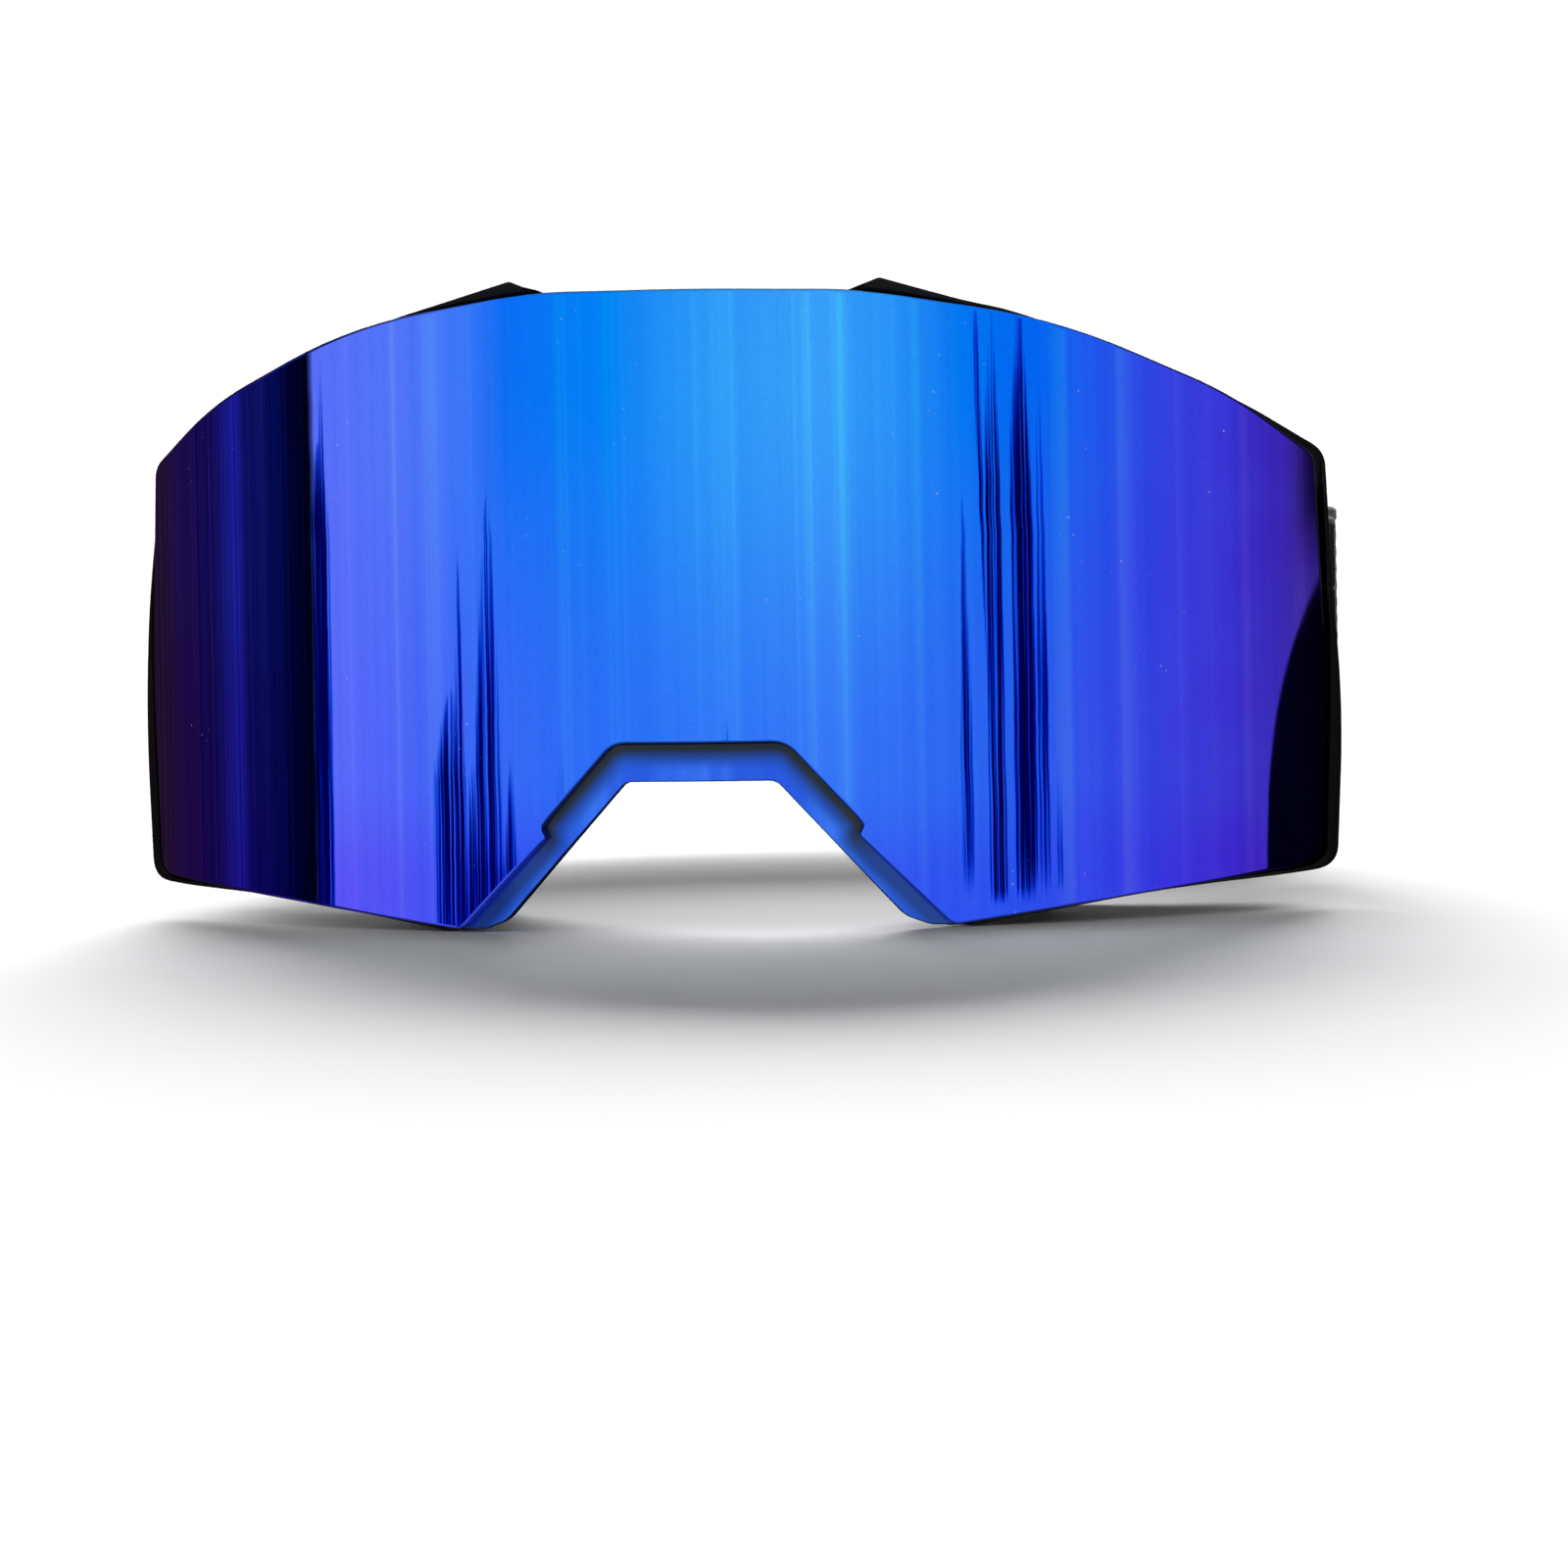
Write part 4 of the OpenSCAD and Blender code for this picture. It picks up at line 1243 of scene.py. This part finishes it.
def add_tail_stitches(bm, to_space):
    """Two rows of stitches across the sewn tail and two along its edges."""
    out = Vector((1, 0, 0))
    b = SLIDER_BAR_B - FOLD_R + 0.05 + STRAP_T * 1.5 - 0.1
    front, rear = SLIDER_A - 9, SLIDER_A - 4
    edge = STRAP_W / 2 - 3.2
    corners = [Vector((b, a, z)) for a, z in ((front, -edge), (front, edge), (rear, edge), (rear, -edge))]
    for p, q in zip(corners, corners[1:] + corners[:1]):
        thread_line(bm, p, q, out, to_space)


def make_grip():
    """Low lines of silicone along the inside of the strap's back."""
    bm = bmesh.new()
    half_h, inner = 1.0, STRAP_T / 2
    run = curve_run(SPLIT_T + 0.003, 1, 20)[11:]
    path = smooth_path(run + [Vector((-p.x, p.y)) for p in reversed(run[:-1])], 1.2)
    side = [(1.0, -0.1), (1.0, 0.12), (0.75, GRIP_T * 0.8), (0.35, GRIP_T)]
    section = [(-half_h * w, inner + t) for w, t in side] + [(half_h * w, inner + t) for w, t in side[::-1]]
    for k in range(GRIP_LINES):
        z = STRAP_Z + (k - (GRIP_LINES - 1) / 2) * STRAP_W / (GRIP_LINES + 1)
        ribbon(bm, path, section, z, side_space(1))
    piece = finish_mesh("strap_grip_shape", bm, [M["silicone"]], 60)
    finish_piece(piece, "frame", "grip_silicone", "strap_grip")


# ---------------------------------------------------------------- hinges and sliders

def turned(place):
    """Lets an outline in the plate's own plane (back, up) be extruded across it."""
    return lambda u, v, w: place(w, u, v)


def make_outrigger(name, side):
    """A flat plate from the hinge barrel to two arms that hold the strap's bar."""
    bm = bmesh.new()
    place = hinge_space(side)
    flat_space = turned(place)
    plate_half, arm_a, plate_end = 1.5, 12.2, 13.3
    neck_h, shoulder_a, top_a = 8, 4, 10
    half = [(-1, neck_h), (shoulder_a, neck_h), (top_a - 1, RAIL_OUT - 0.6), (top_a, RAIL_OUT),
            (plate_end, RAIL_OUT)]
    outline = [(a, -z) for a, z in half] + half[::-1]
    block(bm, outline, -plate_half, plate_half, flat_space, 0.7)
    raised = rounded_rect(5.5, -14, 11.2, 14, 1.6)
    block(bm, raised, plate_half - 0.3, plate_half + 0.25, flat_space, 0.2)
    block(bm, circle(0, 0, BARREL_R), -KNUCKLE_HALF, KNUCKLE_HALF, place, 0.5)
    for end in (-1, 1):
        low, high = sorted((end * RAIL_IN, end * RAIL_OUT))
        arm = rounded_rect(arm_a, low, BAR_A + BAR_R + 0.2, high, 1.2)
        block(bm, arm, -plate_half, plate_half, flat_space, 0.6)
    block(bm, circle(0, BAR_A, BAR_R), -RAIL_OUT + 0.6, RAIL_OUT - 0.6, place, 0.2)
    piece = finish_mesh(f"outrigger_{name}_shape", bm, [M["hardware"]], 40)
    finish_piece(piece, f"outrigger_{name}", "hardware_plastic", f"outrigger_{name}")


def make_slider(name, side):
    """Two rails joined by the strap's bar outside and two keeper bars inside."""
    bm = bmesh.new()
    place = hinge_space(side)
    rail_h, rail_r = 2.8, 2.2
    low_b, high_b = KEEPER_B - KEEPER_R, SLIDER_BAR_B + SLIDER_BAR_R
    for end in (-1, 1):
        low, high = sorted((end * RAIL_IN, end * (RAIL_IN + rail_h)))
        rail = rounded_rect(low_b, SLIDER_A - SLIDER_HALF, high_b, SLIDER_A + SLIDER_HALF, rail_r)
        block(bm, rail, low, high, place, 0.5)
    bars = [circle(SLIDER_BAR_B, SLIDER_A, SLIDER_BAR_R)]
    bars += [circle(KEEPER_B, SLIDER_A + end * KEEPER_A, KEEPER_R) for end in (-1, 1)]
    for bar in bars:
        block(bm, bar, -RAIL_IN - 0.5, RAIL_IN + 0.5, place, 0.1)
    piece = finish_mesh(f"slider_{name}_shape", bm, [M["slider"]], 40)
    finish_piece(piece, f"slider_{name}", "slider_plastic", f"slider_{name}")


def make_bracket(name, side):
    """A block behind the rim's side, with a knuckle above and below the outrigger's barrel."""
    bm = bmesh.new()
    place = hinge_space(side)
    inner, outer, end_y = HINGE_X - 0.2, HINGE_X + 2.9, HINGE_Y - 4.5
    start_in = LENS_R - math.sqrt(RIM_BACK_R ** 2 - inner ** 2)
    start_out = LENS_R - math.sqrt(RIM_BACK_R ** 2 - outer ** 2)
    half = STRAP_W / 2
    body = [(inner, start_in), (outer, start_out), (outer, end_y), (inner, end_y)]
    block(bm, body, -half, half, side_space(side, STRAP_Z), 0.5)
    height = half - KNUCKLE_HALF - KNUCKLE_GAP
    neck = [(-0.7, -7), (1.6, -7), (2.4, -1), (2.4, 0), (-2.0, 0), (-1.6, -1.5)]
    for end in (-1, 1):
        middle = end * (half + KNUCKLE_HALF + KNUCKLE_GAP) / 2
        low, high = middle - height / 2, middle + height / 2
        block(bm, circle(0, 0, BARREL_R), low, high, place, 0.4)
        block(bm, neck, low + 0.3, high - 0.3, place, 0.3)
    piece = finish_mesh(f"bracket_{name}_shape", bm, [M["hardware"]], 40)
    finish_piece(piece, "frame", "hardware_plastic", f"bracket_{name}")


def make_pin(name, side):
    """The hinge pin and its head."""
    bm = bmesh.new()
    place = hinge_space(side)
    half, head_r = STRAP_W / 2, PIN_R + 0.9
    block(bm, circle(0, 0, PIN_R), -half - 0.2, half + 0.4, place, 0.25)
    block(bm, circle(0, 0, head_r), half + 0.1, half + 1.3, place, 0.5)
    piece = finish_mesh(f"hinge_pin_{name}_shape", bm, [M["steel"]], 40)
    finish_piece(piece, "frame", "pin_steel", f"hinge_pin_{name}")


def dress_plain_nodes():
    """Nodes of the frame whose shape is right keep it and get their finish here."""
    wanted = {"carrier_magnets": "nickel", "frame_magnets": "nickel", "lens_carrier": "carrier",
              "vent_foam_top": "vent", "vent_foam_bottom_left": "vent", "vent_foam_bottom_right": "vent"}
    for node, mat in wanted.items():
        mesh = frame["nodes"][node].data
        mesh.materials.clear()
        mesh.materials.append(M[mat])


# ---------------------------------------------------------------- camera, floor, light and world

AZIMUTH = math.radians(7.3)
ELEVATION = math.radians(3.5)
ROLL = math.radians(-1.03)
DISTANCE = 6000.0
FRAME_WIDTH = 239.5
AIM_RIGHT = 13.0
AIM_UP = 22.4
FLOOR_SIZE = 40.0
FLOOR_DROP = 0.0002
SUN_TILT = -77
SUN_TURN = 9
WHITE = (1.0, 1.0, 1.0, 1.0)


def make_camera():
    right = Vector((math.cos(AZIMUTH), math.sin(AZIMUTH), 0))
    level = Vector((math.sin(AZIMUTH), -math.cos(AZIMUTH), 0))
    back = level * math.cos(ELEVATION) + Vector((0, 0, math.sin(ELEVATION)))
    up = back.cross(right)
    data = bpy.data.cameras.new("camera")
    data.sensor_width = 36.0
    data.lens = data.sensor_width * DISTANCE / FRAME_WIDTH
    data.clip_start = 0.1
    data.clip_end = 50.0
    camera = new_object("camera", data)
    target = put(0, 0, 0) + (right * AIM_RIGHT + up * AIM_UP) * MM
    turn = Matrix((right, up, back)).transposed().to_4x4() @ Matrix.Rotation(ROLL, 4, "Z")
    camera.matrix_world = Matrix.Translation(target + back * DISTANCE * MM) @ turn
    bpy.context.scene.camera = camera


def make_floor():
    bm = bmesh.new()
    bmesh.ops.create_grid(bm, x_segments=2, y_segments=2, size=FLOOR_SIZE)
    pale = (0.86, 0.86, 0.87, 1)
    mat = material("floor", Roughness=0.9, Base_Color=pale, Specular_IOR_Level=0.1)[0]
    floor = finish_mesh("floor", bm, [mat])
    floor.location.z = -FLOOR_DROP
    floor.visible_glossy = False
    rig.stage(floor)


def make_light():
    """One large soft light, low behind the goggles, that draws their shadow forwards."""
    data = bpy.data.lights.new("key", "SUN")
    data.energy = 15.0
    data.angle = math.radians(36)
    key = new_object("key", data)
    key.visible_glossy = False
    key.rotation_euler = (math.radians(SUN_TILT), 0, math.radians(SUN_TURN))


# Dark uprights seen in the lens: direction in degrees, half width, top, the distance over which the
# top narrows, strength and lean
UPRIGHTS = (
    (-75.9, 2.2, 76.0, 12.0, 1.30, 0.0), (-75.2, 0.9, 92.0, 30.0, 1.10, 0.0),
    (-43.8, 3.4, 68.0, 56.0, 1.00, -0.02), (-44.6, 4.8, 32.0, 22.0, 1.15, -0.02),
    (-48.8, 1.5, 58.0, 44.0, 0.95, -0.01), (-50.4, 3.6, 38.0, 14.0, 0.90, -0.01),
    (-39.4, 1.8, 26.0, 18.0, 1.05, -0.02), (-30.5, 2.6, 28.0, 22.0, 0.45, 0.0),
    (-3.0, 1.0, 34.0, 6.0, 0.45, 0.0), (3.8, 0.8, 54.0, 40.0, 0.45, 0.0),
    (36.8, 1.3, 66.0, 36.0, 0.85, 0.0), (41.5, 0.7, 102.0, 12.0, 0.85, 0.029),
    (42.1, 1.8, 99.0, 34.0, 1.05, 0.0), (46.9, 2.2, 104.0, 40.0, 1.45, 0.0),
    (50.2, 1.3, 90.0, 50.0, 0.75, 0.0), (52.7, 0.8, 32.0, 26.0, 0.85, 0.0))


def dark_wall(n, azimuth, height):
    """The wall on the wearer's right: its colours, and the fine bands in it."""
    drift = n.times(n.minus(n.noise(None, 0.05, 2.0, 0.5, "1D", height), 0.5), 1.0)
    turn = n.plus(azimuth, drift)
    share = n.math("MULTIPLY_ADD", turn, 1 / 180.0, 1.0)
    colour = n.ramp(share, [
        (0.00, "0c0c12"), (0.30, "584448"), (0.345, "745652"), (0.37, "6e4e6c"), (0.40, "644470"),
        (0.433, "595176"), (0.465, "7890c4"), (0.480, "505a80"), (0.515, "30406a"), (0.545, "0c1434"),
        (0.5698, "060a18"), (0.5718, "ffffff"), (1.0, "ffffff")])
    fine = n.noise(None, 1.4, 4.0, 0.7, "1D", azimuth)
    bands = n.step(fine, 0.3, 0.75, 0.5, 1.3)
    in_wall = n.step(turn, -76.9, -77.7)
    return colour, n.plus(n.times(bands, in_wall), n.minus(1.0, in_wall))


def uprights(n, azimuth, height):
    """How dark the uprights are in each direction, with a little haze between them."""
    sway = n.times(n.minus(n.noise(None, 0.06, 3.0, 0.6, "1D", height), 0.5), 0.8)
    bent = n.plus(azimuth, sway)
    cover = None
    for middle, half, top, narrowing, strength, lean in UPRIGHTS:
        off = n.minus(n.math("MULTIPLY_ADD", height, lean, bent), middle + 20 * lean)
        off = n.math("ABSOLUTE", off)
        grown = n.math("DIVIDE", n.minus(top, height), narrowing, clamp=True)
        width = n.times(n.math("POWER", grown, 0.6), half)
        firm = n.math("MULTIPLY_ADD", grown, 0.55 * strength, 0.45 * strength)
        inside = n.step(off, n.times(width, 1.2), n.times(width, 0.4), 0.0, firm)
        cover = inside if cover is None else n.math("MAXIMUM", cover, inside)
    foot = n.math("MAXIMUM", n.step(height, 1.0, 12.0), n.step(azimuth, 30.0, 20.0))
    cover = n.times(n.times(cover, foot), n.step(height, 102.0, 62.0, 0.6, 1.0))
    along = n.add("ShaderNodeCombineXYZ")
    n.feed(along.inputs[0], n.times(bent, 2.4))
    n.feed(along.inputs[1], n.times(height, 0.012))
    thin = n.step(n.noise(along.outputs[0], 1.0, 3.0, 0.6, "2D"), 0.3, 0.68)
    dark = n.step(n.times(cover, n.math("MULTIPLY_ADD", thin, 1.0, 0.35)), 0.15, 1.25)
    dark = n.math("MINIMUM", n.times(dark, 1.05), 0.92)
    haze = n.step(n.noise(None, 0.22, 4.0, 0.65, "1D", azimuth), 0.3, 0.8, 0.0, 0.04)
    return n.math("MAXIMUM", dark, haze)


def strap_end_shade(n, azimuth, height):
    """The light that a dark strap end on the wearer's left, and the corner above it, let through."""
    strap_top, strap_edge, strap_curve, soft = 54.0, 93.3, 14.9, 0.35
    rise = n.math("DIVIDE", n.math("MAXIMUM", height, 0.0), strap_top)
    edge = n.math("MULTIPLY_ADD", n.math("POWER", rise, 3.2), strap_curve, strap_edge)
    strap_side = n.step(azimuth, n.minus(edge, soft), n.plus(edge, soft))
    clear = n.minus(1.0, n.times(strap_side, 0.985))
    clear = n.times(clear, n.step(azimuth, 100.0, 116.0, 1.0, 0.3))
    corner = n.times(n.step(azimuth, 98.0, 106.0), n.step(height, 50.0, 66.0))
    return n.times(clear, n.math("MULTIPLY_ADD", corner, -0.82, 1.0))


def surroundings(n):
    """What the lens reflects: bright sky, the wall, the uprights and the strap end."""
    x, y, z = n.split(n.add("ShaderNodeTexCoord").outputs["Generated"])
    azimuth = n.math("DEGREES", n.math("ARCTAN2", x, n.times(y, -1.0)))
    level = n.math("SQRT", n.plus(n.times(x, x), n.times(y, y)))
    slope = n.math("DIVIDE", z, n.math("MAXIMUM", level, 0.001))
    eye_height = AIM_UP + DISTANCE * math.sin(ELEVATION)
    height = n.math("MULTIPLY_ADD", slope, DISTANCE * math.cos(ELEVATION), eye_height)
    height = n.math("MINIMUM", n.math("MAXIMUM", height, -60.0), 160.0)
    wall_colour, bands = dark_wall(n, azimuth, height)
    light = n.minus(1.0, uprights(n, azimuth, height))
    pale = n.step(n.noise(None, 0.16, 3.0, 0.6, "1D", n.plus(azimuth, 31.0)), 0.5, 0.8, 1.0, 1.5)
    tint = n.add("ShaderNodeCombineColor")
    n.feed(tint.inputs[0], n.times(n.math("POWER", light, 7.0), pale))
    n.feed(tint.inputs[1], n.times(n.math("POWER", light, 3.0), pale))
    n.feed(tint.inputs[2], light)
    colour = n.mix(1.0, wall_colour, tint.outputs[0], "MULTIPLY")
    colour = n.mix(1.0, colour, n.times(strap_end_shade(n, azimuth, height), bands), "MULTIPLY")
    colour = n.mix(n.step(slope, 0.5, 1.6), colour, "e6e6e6")
    return n.mix(n.step(slope, -0.6, -1.4), colour, "8c8c90")


def make_world():
    """White to the camera, soft light for surfaces, and the surroundings for reflections."""
    world = bpy.data.worlds.new("studio")
    world.use_nodes = True
    bpy.context.scene.world = world
    n = Nodes(world.node_tree)

    def background(colour, strength):
        node = n.add("ShaderNodeBackground")
        n.feed(node.inputs["Color"], colour)
        node.inputs["Strength"].default_value = strength
        return node.outputs[0]

    def choose(factor, a, b):
        node = n.add("ShaderNodeMixShader")
        for socket, value in zip(node.inputs, (factor, a, b)):
            n.feed(socket, value)
        return node.outputs[0]

    path = n.add("ShaderNodeLightPath").outputs
    soft, reflected = background(WHITE, 0.22), background(surroundings(n), 1.0)
    lighting = choose(path["Is Glossy Ray"], soft, reflected)
    seen = choose(path["Is Camera Ray"], lighting, background(WHITE, 1.05))
    output = n.add("ShaderNodeOutputWorld")
    n.feed(output.inputs["Surface"], seen)
    bpy.context.scene.view_settings.view_transform = "Standard"


make_camera()
make_floor()
make_light()
make_world()
make_lens()
make_rim()
make_gasket()
make_shell()
make_foam()
make_strap()
for side_name, side_sign in (("left", 1), ("right", -1)):
    make_outrigger(side_name, side_sign)
    make_slider(side_name, side_sign)
    make_bracket(side_name, side_sign)
    make_pin(side_name, side_sign)
dress_plain_nodes()

low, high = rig.bounds()
with open("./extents.json", "w") as f:
    json.dump({"cad": [list(cad_low), list(cad_high)], "visual": [list(low), list(high)]}, f)
